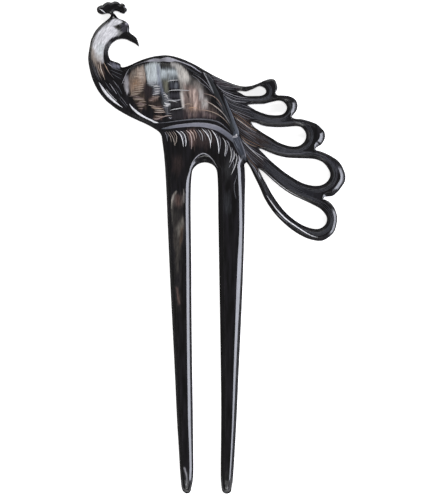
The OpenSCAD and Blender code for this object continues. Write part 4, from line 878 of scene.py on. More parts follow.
def meetingPoints():
    # where two bevels meet on a narrow strand: found by walking in from each outline point
    rows = []
    for loop in loops:
        normal = inwardNormals(np.roll(loop, -1, axis=0) - np.roll(loop, 1, axis=0))
        low, high = np.zeros(len(loop)), np.full(len(loop), net["widest"])
        for _ in range(net["halvings"]):
            middle = (low + high) / 2
            free = edgeDistance(loop + normal * middle[:, None]) > middle - net["slack"]
            low, high = np.where(free, middle, low), np.where(free, high, middle)
        row = loop + normal * low[:, None]
        rows.append(row[(low > net["meetLeast"]) & (low < bevelWidth(row) + net["meetPast"])])
    return np.vstack(rows)


def gridBeside(points, step, clear, gap):
    return np.vstack([points, thinOut(insideGrid(step, clear), points, gap)])


def facePoints():
    # the outline first, then what has to be followed closely, and the grids last
    meeting = thinOut(meetingPoints(), edgeStart, net["meetGap"])
    ridges = thinOut(ridgeRings(), np.vstack([edgeStart, meeting]), net["ridgeGap"])
    guides = np.vstack([meeting, ridges])
    guides = np.vstack([guides, thinOut(guidePoints(), np.vstack([edgeStart, guides]), net["guideGap"])])
    parts = [edgeStart, guides]
    for distance in net["rings"]:
        parts.append(thinOut(insetRing(distance), np.vstack([parts[-1], guides]), net["ringGap"]))
    points = np.vstack(parts)
    step, clear, gap = net["wingGrid"]
    fineGrid = insideGrid(step, clear)
    fineGrid = fineGrid[insideLoop(fineGrid, wingEdge[:-1, :2])]
    points = np.vstack([points, thinOut(fineGrid, points, gap)])
    return gridBeside(points, *net["faceGrid"])


def carvedPiece():
    top = facePoints()
    count, rim = len(top), len(edgeStart)
    distance = np.zeros(count)
    distance[rim:] = edgeDistance(top[rim:])
    below = np.vstack([edgeStart, thinOut(insetRing(plate["chamfer"], 2), edgeStart, net["backGap"])])
    below = gridBeside(below, *net["backGrid"])
    depth = np.zeros(len(below))
    depth[:rim] = plate["chamfer"]
    face, back = np.column_stack([top, carvedHeight(top, distance)]), np.column_stack([below, depth])
    points = np.vstack([face, back]) * mm
    faces = [tuple(f) for f in skin(top)] + [tuple(count + i for i in reversed(f)) for f in skin(below)]
    for k in range(len(loops)):
        size = loopFirst[k + 1] - loopFirst[k]
        for i in range(size):
            a, b = loopFirst[k] + i, loopFirst[k] + (i + 1) % size
            faces.append((b, a, count + a, count + b))
    mesh = bpy.data.meshes.new("carvedHorn")
    mesh.from_pydata(points.tolist(), [], faces)
    mesh.validate()
    mesh.shade_smooth()
    mesh.set_sharp_from_angle(angle=math.radians(net["sharp"]))
    piece = bpy.data.objects.new("carvedHorn", mesh)
    bpy.context.scene.collection.objects.link(piece)
    return piece, top, distance


carvedHorn, topPoints, topDistance = carvedPiece()
print("carved horn:", len(carvedHorn.data.polygons), "faces")


# soft-edged patches of paler horn in the black, and a few painted highlights and painted sheen; a negative
# strength only recolours what is there
patches = [
    # outline, softness of its edge, colour, strength
    ([
        (-39.3, 33.6), (-39.45, 31.5), (-38.88, 29.75), (-37.77, 28.35), (-36.57, 27.3), (-35.31, 27.65),
        (-35.31, 29.75), (-35.24, 32.2), (-34.68, 33.74), (-33.63, 35.21), (-32.23, 36.4), (-30.62, 37.24),
        (-29.71, 37.8), (-29.85, 38.85), (-30.83, 39.62), (-31.85, 40.32), (-30.62, 40.81),
        (-29.36, 41.23), (-28.66, 41.93), (-29.22, 42.77), (-30.27, 43.12), (-32.02, 43.08),
        (-33.77, 41.51), (-36.02, 39.69), (-37.77, 37.66), (-38.81, 35.56)], 1.2, "#dedde0", 0.97),
    ([
        (-37.06, 34.3), (-35.52, 34.3), (-35.52, 31.5), (-36.02, 29.4), (-37.48, 30.1), (-37.62, 32.55)],
     2.0, "#c9d0d0", 0.6),
    ([(-37.97, 30.8), (-35.52, 30.1), (-36.22, 27.79), (-37.27, 28)], 1.6, "#a09a92", -0.6),
    ([(-39.58, 32.2), (-38.88, 32.55), (-38.12, 28.7), (-38.81, 28.7)], 0.8, "#8b8078", -0.6),
    ([
        (-39.65, 33.25), (-38.46, 32.2), (-37.97, 30.1), (-36.71, 28), (-36.92, 25.9), (-38.53, 26.6),
        (-39.65, 29.4)], 1.6, "#968b81", 0.8),
    ([
        (-37.7, 28), (-35.73, 28.42), (-35.38, 26.95), (-35.03, 25.34), (-34.75, 23.8), (-35.31, 22.4),
        (-36.57, 23.59), (-37.48, 25.69)], 1.6, "#4d3f39", 0.8),
    ([(-39.02, 27.3), (-37.41, 25.2), (-36.22, 22.05), (-37.62, 22.75), (-38.81, 24.85)],
     1.4, "#3a3634", 0.7),
    ([
        (-30.13, 39.13), (-29.02, 38.85), (-28.38, 38.22), (-29.02, 37.52), (-30.07, 36.96),
        (-30.83, 36.89)], 1.2, "#7d7c7c", 0.8),
    ([
        (-31.88, 40.42), (-30.62, 40.98), (-29.43, 41.23), (-29.29, 39.34), (-30.27, 39.34),
        (-31.11, 39.76)], 0.45, "#4a4843", 0.95),
    ([
        (-30.83, 40.67), (-30.13, 41.09), (-29.57, 40.95), (-29.57, 40.04), (-30.13, 39.58),
        (-30.7, 39.97)], 0.45, "#161513", -0.95),
    ([
        (-29.22, 41.16), (-27.96, 41.23), (-26.98, 40.6), (-26.84, 39.06), (-28.03, 38.01), (-29.02, 38.5),
        (-29.15, 39.9)], 0.8, "#3f3d44", 0.85),
    # a painted highlight on the brow
    ([(-27.75, 41.86), (-27.05, 41.86), (-26.63, 41.09), (-26.98, 40.67), (-27.75, 41.02)],
     0.5, "#8a8693", 0.85),
    ([
        (-33.28, 28.21), (-31.67, 27.93), (-29.71, 26.95), (-29.43, 25.69), (-30.62, 25.34),
        (-32.52, 26.04)], 1.4, "#6b6b76", 0.8),
    ([
        (-27.75, 22.75), (-26.71, 23.24), (-26.28, 20.3), (-26.36, 17.36), (-27.05, 16.1), (-27.86, 18.2),
        (-28.17, 20.79)], 1.0, "#a9a6ab", 0.88),
    ([
        (-25.93, 24.01), (-23.97, 25.55), (-21.17, 26.46), (-20.89, 24.5), (-20.33, 21.7), (-20.96, 19.25),
        (-22.92, 16.8), (-25.72, 16.1), (-26.28, 19.6), (-26.28, 22.05)], 1.2, "#8d7a6d", 0.95),
    ([(-23.41, 25.55), (-21.24, 26.11), (-21.03, 22.05), (-22.22, 21.35), (-23.27, 22.05)],
     1.6, "#b5a79c", 0.8),
    ([(-25.52, 24.5), (-23.97, 25.06), (-23.62, 22.75), (-24.67, 21.7), (-25.72, 22.4)], 1.2, "#7c7872", 0.6),
    ([(-25.02, 22.05), (-22.92, 22.4), (-22.02, 20.3), (-23.27, 18.2), (-25.38, 18.9)], 1.6, "#86694f", 0.6),
    ([
        (-25.72, 16.45), (-22.57, 17.85), (-20.47, 18.55), (-20.33, 14.7), (-20.12, 11.55),
        (-22.57, 11.06), (-24.67, 14)], 2.0, "#3b322c", 0.75),
    ([(-23.62, 15.75), (-21.17, 15.75), (-20.68, 11.9), (-22.71, 11.9)], 2.0, "#5b4c42", 0.5),
    ([
        (-21.17, 20.3), (-18.38, 19.74), (-17.82, 15.4), (-19.07, 14.35), (-20.47, 15.05), (-21.32, 17.5)],
     1.2, "#2b2426", 0.9),
    ([
        (-20.76, 26.46), (-19.42, 27.51), (-18.02, 27.93), (-16.62, 27.93), (-15.72, 27.37),
        (-15.37, 24.5), (-15.08, 22.05), (-16.27, 20.3), (-18.38, 20.09), (-19.77, 20.65), (-20.27, 23.1)],
     1.2, "#bac1c3", 0.97),
    ([
        (-16.77, 26.6), (-15.64, 26.6), (-15.16, 22.05), (-14.38, 18.9), (-13.68, 16.45), (-14.52, 15.54),
        (-15.51, 18.2), (-16.42, 21)], 1.0, "#7f8494", 0.7),
    ([(-18.02, 20.3), (-15.37, 20.3), (-15.22, 15.75), (-18.02, 15.75)], 1.2, "#55555c", 0.75),
    ([
        (-15.37, 25.34), (-12.07, 25.55), (-8.92, 25.55), (-8.92, 22.4), (-11.02, 21.56), (-15.29, 21.56)],
     1.4, "#a3abae", 0.92),
    ([
        (-15.29, 25.55), (-12.07, 25.76), (-8.92, 25.76), (-8.92, 23.8), (-12.07, 23.45), (-15.22, 23.31)],
     1.4, "#bfc7ca", -0.8),
    ([(-13.12, 23.94), (-12.07, 23.94), (-12.07, 21.7), (-13.12, 21.7)], 0.7, "#6f7373", -0.7),
    ([(-15.02, 22.05), (-12.57, 22.05), (-12.49, 17.5), (-13.82, 16.45), (-14.67, 18.9)],
     1.2, "#55554d", 0.8),
    ([
        (-15.43, 27.44), (-12.07, 27.37), (-11.17, 26.81), (-11.58, 26.04), (-13.82, 25.97),
        (-15.08, 26.46)], 1.0, "#2f2e2a", 0.88),
    ([
        (-11.93, 28.14), (-9.97, 27.86), (-8.37, 27.02), (-7.87, 25.97), (-9.97, 25.76), (-11.58, 26.39)],
     0.9, "#a9a6a3", 0.85),
    ([(-12.07, 23.17), (-9.27, 23.24), (-9.13, 21.7), (-12.07, 21.7)], 1.0, "#3f4142", 0.6),
    ([
        (-9.97, 26.25), (-8.22, 26.39), (-6.82, 25.62), (-5.77, 24.22), (-4.93, 22.05), (-5.42, 20.65),
        (-6.62, 19.6), (-7.17, 19.81), (-8.57, 20.65), (-9.27, 22.96)], 1.3, "#b9b4ad", 0.94),
    ([(-14.24, 21.14), (-12.77, 21.14), (-12.71, 17.29), (-13.82, 16.94)], 0.8, "#6c6b5d", 0.75),
    ([(-8.78, 20.79), (-6.89, 20.65), (-6.89, 15.05), (-8.22, 14.84)], 1.2, "#8f8983", 0.85),
    ([(-8.57, 17.01), (-7.59, 17.01), (-6.82, 11.83), (-7.87, 11.69)], 0.8, "#c4beb8", 0.92),
    ([(-12.22, 20.79), (-8.92, 20.79), (-8.78, 18.41), (-12.22, 18.41)], 0.8, "#3b3d43", 0.85),
    ([(-10.47, 20.86), (-9.69, 20.86), (-9.62, 15.05), (-10.32, 15.05)], 0.8, "#73767b", -0.7),
    ([(-9.34, 17.5), (-8.72, 17.5), (-8.57, 15.05), (-9.21, 15.05)], 0.6, "#64666b", -0.6),
    ([(-12.42, 17.15), (-8.57, 17.15), (-8.37, 15.26), (-12.42, 15.26)], 0.8, "#37363b", 0.85),
    ([(-14.87, 16.45), (-12.28, 16.45), (-11.93, 11.9), (-13.82, 11.2), (-14.73, 13.65)],
     1.4, "#5f6165", 0.85),
    ([(-13.97, 11.69), (-12.42, 11.69), (-12.07, 9.1), (-13.47, 8.75)], 1.2, "#58585b", 0.6),
    ([(-11.87, 14.35), (-8.57, 14.35), (-8.22, 12.25), (-11.72, 11.9)], 0.8, "#2e2c2f", 0.85),
    ([(-12.42, 10.85), (-7.17, 11.2), (-7.03, 7.91), (-12.77, 7.7)], 1.0, "#29272a", 0.9),
    ([(-19.77, 14.7), (-15.22, 14.84), (-14.87, 12.25), (-17.67, 11.9), (-19.91, 13.3)], 1.4, "#2b2422", 0.8),
    ([(-19.42, 14.49), (-18.16, 15.54), (-16.13, 15.89), (-16.27, 14.91), (-18.02, 14.21)],
     0.8, "#8a7368", 0.75),
    ([
        (-7.17, 19.95), (-5.07, 19.6), (-2.97, 20.51), (-1.22, 18.55), (1.22, 14.91), (1.51, 10.64),
        (-2.97, 10.15), (-6.68, 10.36), (-7.38, 14.7)], 1.5, "#94827b", 0.78),
    ([(-4.93, 17.5), (-1.92, 17.5), (-1.72, 10.5), (-4.93, 10.5)], 1.4, "#b79e92", -0.75),
    ([(-5.28, 12.39), (-2.27, 12.39), (-2.27, 10.29), (-5.28, 10.29)], 1.2, "#b08d72", -0.6),
    ([(-6.27, 18.9), (-5.07, 18.9), (-4.87, 10.85), (-6.12, 10.85)], 0.9, "#5f514b", -0.7),
    ([(-4.02, 18.2), (-2.77, 18.2), (-2.62, 10.85), (-3.82, 10.85)], 0.9, "#cbb6ac", -0.6),
    ([(-4.58, 18.9), (-4.17, 18.9), (-4.09, 10.5), (-4.52, 10.5)], 0.6, "#4a3f3b", -0.55),
    ([(-2.42, 18.2), (-1.92, 17.85), (-1.92, 10.5), (-2.42, 10.5)], 0.6, "#4a3f3b", -0.6),
    ([(-1.29, 14.35), (-0.88, 14.35), (-0.88, 10.5), (-1.29, 10.5)], 0.6, "#463c39", -0.5),
    ([(-0.32, 17.01), (1.57, 16.24), (1.57, 14.49), (-0.32, 14.56)], 0.9, "#3d3437", -0.9),
    ([(-6.82, 17.71), (-6.33, 17.64), (-5.22, 15.61), (-5.63, 15.47)], 0.6, "#332b2a", -0.7),
    ([(-5.22, 18.2), (-4.79, 18.2), (-4.79, 13.65), (-5.22, 13.65)], 0.6, "#b8a59c", -0.6),
    ([(-2.62, 20.65), (-1.72, 20.3), (-0.52, 17.85), (-1.57, 17.5), (-2.48, 18.55)], 1.0, "#8b7f7a", 0.6),
    ([(-5.22, 23.1), (-1.92, 21.91), (-0.38, 19.6), (-0.38, 17.15), (-2.62, 18.9), (-4.79, 19.6)],
     1.6, "#5c5956", 0.85),
    ([(-3.67, 20.3), (-1.57, 19.6), (-0.73, 17.5), (-2.42, 17.85)], 1.2, "#8a827c", 0.6),
    ([(-1.92, 17.99), (-0.38, 17.64), (-0.38, 14.7), (-1.86, 14.7)], 1.0, "#a8a6a4", 0.75),
    ([(-0.94, 14.49), (0.32, 14.49), (0.32, 11.9), (-0.88, 11.9)], 1.0, "#aeaca8", -0.75),
    ([(0.11, 15.19), (1.08, 15.05), (1.02, 12.95), (0.17, 13.09)], 0.9, "#b4b0ab", 0.75),
    ([(0.73, 14.14), (1.37, 14), (1.37, 11.2), (0.73, 11.2)], 0.7, "#b0aaa6", -0.7),
    ([(-7.17, 10.36), (1.22, 10.71), (4.38, 9.1), (4.02, 8.05), (-2.97, 8.19), (-6.97, 8.05)],
     1.4, "#54474a", 0.75),
    ([(-4.17, 10.5), (-2.77, 10.5), (-2.77, 8.26), (-4.02, 8.26)], 0.9, "#85746e", -0.7),
    ([(-0.52, 10.5), (0.73, 10.5), (0.81, 8.05), (-0.38, 8.05)], 0.9, "#7d6f6b", -0.7),
    ([(1.43, 13.65), (4.02, 11.55), (5.77, 9.1), (2.97, 9.24), (1.43, 10.64)], 1.6, "#544843", 0.75),
    ([(-0.52, 19.6), (1.22, 17.85), (2.97, 15.4), (1.57, 14.35), (-0.32, 16.1)], 1.4, "#3c3735", 0.75),
    ([(-18.58, 12.81), (-14.32, 12.39), (-13.97, 10.01), (-17.32, 10.01)], 1.0, "#4f403a", 0.68),
    ([(-18.02, 9.24), (-14.87, 9.24), (-14.73, 7.49), (-17.39, 7.7)], 1.0, "#59463f", 0.7),
    ([(-5.77, 10.15), (-4.93, 10.15), (-4.87, 8.26), (-5.63, 8.26)], 0.8, "#8a7871", -0.7),
    ([(-1.92, 10.29), (-1.02, 10.29), (-0.94, 8.05), (-1.78, 8.05)], 0.8, "#2c2526", -0.7),
    ([(1.57, 10.22), (2.42, 10.01), (2.48, 8.26), (1.72, 8.26)], 0.8, "#8a7a76", -0.7),
    ([(-6.97, 10.15), (-6.12, 10.15), (-6.12, 8.19), (-6.82, 8.19)], 0.8, "#2c2526", -0.7),
    # the clouded spots of the prongs
    ([
        (-11.38, -19.25), (-10.47, -17.64), (-8.78, -17.85), (-7.38, -18.9), (-7.32, -22.05),
        (-8.43, -23.1), (-11.02, -23.24), (-11.58, -21)], 1.6, "#5f5550", 0.62),
    ([
        (-11.79, -23.1), (-11.72, -20.3), (-11.09, -18.55), (-9.91, -16.94), (-9.56, -17.36),
        (-10.53, -18.9), (-11.17, -21), (-11.23, -23.8)], 0.5, "#a09b93", 0.62),
    ([(-10.12, -18.55), (-8.57, -18.41), (-8.37, -22.4), (-9.77, -22.61)], 1.4, "#5e4640", -0.8),
    ([(-7.52, -16.24), (-7.03, -16.24), (-6.97, -21.35), (-7.38, -21.35)], 0.5, "#9d9894", 0.6),
    ([(-11.17, -23.31), (-7.67, -23.31), (-8.02, -26.25), (-9.97, -27.65), (-11.23, -25.55)],
     1.8, "#2e2c28", 0.6),
    ([(-11.72, -23.8), (-11.17, -23.8), (-10.88, -29.4), (-11.38, -29.4)], 0.8, "#6f6b65", 0.45),
    ([
        (-10.88, -30.45), (-9.42, -28), (-7.87, -26.74), (-7.03, -28), (-7.03, -31.5), (-7.87, -36.4),
        (-8.92, -40.6), (-9.97, -42), (-10.67, -36.4)], 1.8, "#4b4540", 0.62),
    ([
        (-9.97, -30.1), (-8.57, -27.79), (-7.46, -26.53), (-7.24, -28.7), (-7.87, -31.5), (-9.27, -32.9)],
     1.0, "#8d887f", 0.5),
    ([(-8.37, -30.1), (-7.52, -30.1), (-7.73, -34.3), (-8.64, -36.4)], 0.9, "#75583f", -0.7),
    ([(-9.97, -36.4), (-8.92, -36.4), (-9.07, -45.5), (-9.77, -45.5)], 0.9, "#4b4741", 0.55),
    ([(-11.58, -24.5), (-7.17, -24.5), (-7.32, -42), (-7.73, -59.5), (-10.53, -59.5), (-11.23, -42)],
     2.0, "#33302e", 0.44),
    ([(-9.97, -50.75), (-9.34, -51.1), (-8.51, -56.35), (-9.13, -57.05)], 0.7, "#725c56", 0.62),
    # painted highlights: glints on the two points
    ([
        (-7.46, -113.75), (-6.76, -113.75), (-5.92, -116.2), (-5.77, -118.3), (-6.06, -120.61),
        (-6.68, -120.61), (-6.62, -117.6)], 0.6, "#97969a", 0.7),
    ([(7.67, -120.4), (8.29, -120.89), (8.57, -122.15), (8.08, -122.5)], 0.6, "#828186", 0.6),
    # darker and browner patches about the gap and the tops of the prongs
    ([(6.62, -17.5), (8.92, -16.8), (9.42, -24.5), (7.52, -25.9), (6.47, -22.4)], 2.4, "#2b2c2f", 0.8),
    ([(6.82, -5.6), (9.62, -6.3), (9.97, -11.9), (7.52, -14), (6.27, -10.5)], 2.4, "#2a2a2b", 0.8),
    ([(-11.38, -4.9), (-7.87, -4.2), (-7.17, -8.4), (-9.27, -12.6), (-11.38, -10.5)], 2.6, "#2c2322", 0.8),
    ([(-6.47, 4.62), (-3.47, 4.76), (-2.91, 0.7), (-3.67, -2.31), (-5.07, -1.75)], 1.8, "#6c5752", 0.68),
    ([(-3.67, 4.55), (2.62, 4.55), (4.02, 0), (0.52, -2.8), (-2.97, -1.4)], 2.4, "#382e2d", 0.8),
    # painted sheen along the outside top of the fourth loop
    ([
        (39.02, -3.85), (42.52, -4.9), (45.32, -7), (47.07, -9.45), (46.72, -11.2), (43.92, -7.7),
        (41.12, -5.6)], 1.6, "#3b3b42", 0.7),
    # brown in the roots of the tail
    ([
        (9.48, 10.5), (12.42, 9.94), (15.92, 7.21), (18.38, 3.64), (21.52, 1.4), (22.92, -0.7),
        (20.12, -1.26), (15.92, 1.05), (11.72, 4.9)], 2.4, "#382d28", 0.75),
    ([(3.32, 22.05), (7.52, 20.86), (12.07, 19.04), (11.72, 18.2), (7.52, 18.34), (4.38, 19.74)],
     1.6, "#3a3135", 0.8),
    ([(13.47, -1.4), (16.62, -2.8), (20.82, -5.95), (20.12, -9.1), (16.62, -7)], 2.0, "#302928", 0.7),
]
paintedStrandSheen = {
    "colour": "#1f1f24", "strength": 0.8,
    "clear": (0.6, 1.4), "rightOf": (9.0, 15.0),
    # place and reach of the ends kept black, where the painted sheen fades out
    "darkEnds": [(23.62, 20.3, 5), (29.57, 12.95, 5), (39.02, 2.45, 6.5), (46.02, -10.5, 8), (43.92, -27.3, 8)],
    "endFade": (0.7, 1.4),
}
patchSqueeze = 0.42    # how far a patch fades out across the grain, where it fades 1 along it
# the neck's grain bends round this point, left of and above these limits
grainTurn = {"centre": (-22.22, 29.4), "radius": 18.5, "leftOf": -27.5, "above": 20}


def paintPatches(piece, points, distance):
    colour = np.zeros((len(piece.data.vertices), 4))
    n = len(points)
    # painted sheen: the middle of each strand of the tail is painted a shade paler
    colour[:n, :3] = toLinear(paintedStrandSheen["colour"])[:3]
    colour[:n, 3] = paintedStrandSheen["strength"] * smoothStep(*paintedStrandSheen["clear"], distance)
    colour[:n, 3] *= smoothStep(*paintedStrandSheen["rightOf"], points[:, 0])
    for x, y, reach in paintedStrandSheen["darkEnds"]:
        away = np.hypot(points[:, 0] - x, points[:, 1] - y) / reach
        colour[:n, 3] *= smoothStep(*paintedStrandSheen["endFade"], away)
    for path, soft, shade, strength in patches:
        path = np.array(path + path[:1])
        # on the body the edges fade further along the grain than across it
        squeeze = np.array([1.0, 1.0 if path[:, 0].mean() < grainTurn["leftOf"] else patchSqueeze])
        low, high = path.min(0) - soft / squeeze, path.max(0) + soft / squeeze
        near = np.flatnonzero(((points > low) & (points < high)).all(1))
        gap, _ = pathDistance(points[near] * squeeze, path * squeeze)
        gap = np.where(insideLoop(points[near], path[:-1]), gap, -gap)
        weight = abs(strength) * smoothStep(-soft / 2, soft / 2, gap)
        total = colour[near, 3] if strength < 0 else weight + colour[near, 3] * (1 - weight)
        share = weight[:, None] if strength < 0 else (weight / np.maximum(total, 1e-6))[:, None]
        colour[near, :3] += (np.array(toLinear(shade)[:3]) - colour[near, :3]) * share
        colour[near, 3] = total
    patch = piece.data.attributes.new("palePatch", "FLOAT_COLOR", "POINT")
    patch.data.foreach_set("color", colour.ravel())
    place = np.array([v.co[:] for v in piece.data.vertices])
    fromCentre = place[:, :2] / mm - np.array(grainTurn["centre"])
    neck = (place[:, 0] < grainTurn["leftOf"] * mm) & (place[:, 1] > grainTurn["above"] * mm)
    turned = np.column_stack([np.linalg.norm(fromCentre, axis=1) * mm,
                              np.arctan2(fromCentre[:, 1], -fromCentre[:, 0]) * grainTurn["radius"] * mm])
    place[neck, :2] = turned[neck]
    grain = piece.data.attributes.new("grain", "FLOAT_VECTOR", "POINT")
    grain.data.foreach_set("vector", place.ravel())


paintPatches(carvedHorn, topPoints, topDistance)


def newMaterial(name):
    material = bpy.data.materials.new(name)
    material.use_nodes = True
    tree = material.node_tree
    tree.nodes.clear()
    shader = addNode(tree, "ShaderNodeBsdfPrincipled")
    addNode(tree, "ShaderNodeOutputMaterial", links={"Surface": shader.outputs["BSDF"]})
    return material, tree, shader


hornLook = {
    # noise along the grain: repeats to a metre across, along and through it, detail, roughness. Real
    # fibres are a tenth of a millimetre wide; these are as coarse as they need to be to show
    "noises": {
        "fibre": ((2300, 240, 600), 4.0, 0.65),       # 0.4 mm wide, 4 mm long
        "band": ((1000, 110, 300), 3.0, 0.55),        # 1 mm wide, 9 mm long
        "cloud": ((2300, 460, 600), 5.0, 0.7),        # 0.4 mm wide, 2 mm long
    },
    # what a noise gives: its name, from, to
    "ranges": {
        "start": ("fibre", (0.34, 0.62), (0.0, 0.75)),       # where the paler horn starts
        "banding": ("band", (0.36, 0.56), (0.76, 1.0)),      # its strength
        "mottle": ("cloud", (0.34, 0.64), (0.66, 1.30)),     # and its brightness
        "gloss": ("fibre", (0.3, 0.7), (0.15, 0.25)),        # roughness of the polish
    },
    "blacks": [(0.38, "#060506"), (0.66, "#18161a")],        # of the body, along the bands
    "swell": 1.6,             # how soon a patch is fully pale
    "fibreBump": (0.06, 0.0001),      # strength, and height in metres
    "ior": 1.55,              # of horn, as of other keratin
}


def polishedBuffaloHorn():
    # black horn polished to a soft gloss: near-black, with paler translucent patches streaked along
    # the grain, among them painted highlights and painted sheen, and faint fibres in the gloss
    material, tree, shader = newMaterial("polishedBuffaloHorn")
    place = addNode(tree, "ShaderNodeAttribute", {"attribute_name": "grain"}).outputs["Vector"]
    noises, given = {}, {}
    for name, (scale, detail, roughness) in hornLook["noises"].items():
        stretched = addNode(tree, "ShaderNodeMapping", {"Scale": scale}, {"Vector": place})
        kind = {"Scale": 1.0, "Detail": detail, "Roughness": roughness}
        noise = addNode(tree, "ShaderNodeTexNoise", kind, {"Vector": stretched.outputs["Vector"]})
        noises[name] = noise.outputs["Fac"]
    for name, (source, (fromLow, fromHigh), (toLow, toHigh)) in hornLook["ranges"].items():
        limits = {"From Min": fromLow, "From Max": fromHigh, "To Min": toLow, "To Max": toHigh}
        mapped = addNode(tree, "ShaderNodeMapRange", limits, {"Value": noises[source]})
        given[name] = mapped.outputs["Result"]
    body = addNode(tree, "ShaderNodeValToRGB", links={"Fac": noises["band"]})
    for element, (position, black) in zip(body.color_ramp.elements, hornLook["blacks"]):
        element.position, element.color = position, toLinear(black)
    # the patches end in streaks: the fibres decide where the paler horn starts
    patch = addNode(tree, "ShaderNodeAttribute", {"attribute_name": "palePatch"})
    swell = addNode(tree, "ShaderNodeMath", {"operation": "MULTIPLY", 1: hornLook["swell"]},
                    {0: patch.outputs["Alpha"]})
    taken = addNode(tree, "ShaderNodeMath", {"operation": "SUBTRACT", "use_clamp": True},
                    {0: swell.outputs["Value"], 1: given["start"]})
    strength = addNode(tree, "ShaderNodeMath", {"operation": "MULTIPLY", "use_clamp": True},
                       {0: taken.outputs["Value"], 1: given["banding"]})
    clouded = addNode(tree, "ShaderNodeVectorMath", {"operation": "SCALE"},
                      {0: patch.outputs["Color"], "Scale": given["mottle"]})
    factor, colourA, colourB, mixed = 0, 6, 7, 2    # the colour sockets of a Mix node
    mix = addNode(tree, "ShaderNodeMix", {"data_type": "RGBA"},
                  {factor: strength.outputs["Value"], colourA: body.outputs["Color"],
                   colourB: clouded.outputs["Vector"]})
    tree.links.new(mix.outputs[mixed], shader.inputs["Base Color"])
    tree.links.new(given["gloss"], shader.inputs["Roughness"])
    shader.inputs["IOR"].default_value = hornLook["ior"]
    raised, height = hornLook["fibreBump"]
    bump = addNode(tree, "ShaderNodeBump", {"Strength": raised, "Distance": height},
                   {"Height": noises["fibre"]})
    tree.links.new(bump.outputs["Normal"], shader.inputs["Normal"])
    return material


cutLook = {"flecks": 1200.0, "from": (0.32, 0.62)}    # flecks of 0.8 mm, as coarse as they need to be


def cutHornAndPaintedLight(name, roughness, dark, light):
    # horn opened by the graver, or scraped to a ridge, and painted highlights and sheen drawn the same way:
    # each line has its own tint, mottled along it
    material, tree, shader = newMaterial(name)
    place = addNode(tree, "ShaderNodeTexCoord").outputs["Object"]
    speck = addNode(tree, "ShaderNodeTexNoise", {"Scale": cutLook["flecks"], "Detail": 3.0}, {"Vector": place})
    tint = addNode(tree, "ShaderNodeAttribute", {"attribute_name": "tint"})
    low, high = cutLook["from"]
    limits = {"From Min": low, "From Max": high, "To Min": dark, "To Max": light}
    worn = addNode(tree, "ShaderNodeMapRange", limits, {"Value": speck.outputs["Fac"]})
    scaled = addNode(tree, "ShaderNodeVectorMath", {"operation": "SCALE"},
                     {0: tint.outputs["Color"], "Scale": worn.outputs["Result"]})
    tree.links.new(scaled.outputs["Vector"], shader.inputs["Base Color"])
    shader.inputs["Roughness"].default_value = roughness
    shader.inputs["IOR"].default_value = hornLook["ior"]
    return material


lineShape = {
    "rayFrom": 0.02, "rayReach": 0.05,    # metres: each point drops from here on to the face
    "evenings": 4,            # how often the face's normals are evened along the line
    "fullness": 0.55,         # 1 tapers like a lens, 0 not at all
    "endWidth": 0.12,         # share of the width that the ends keep
    "sides": 10,
    "step": 0.3, "clear": 0.1,        # millimetres between points, and from the outline
}


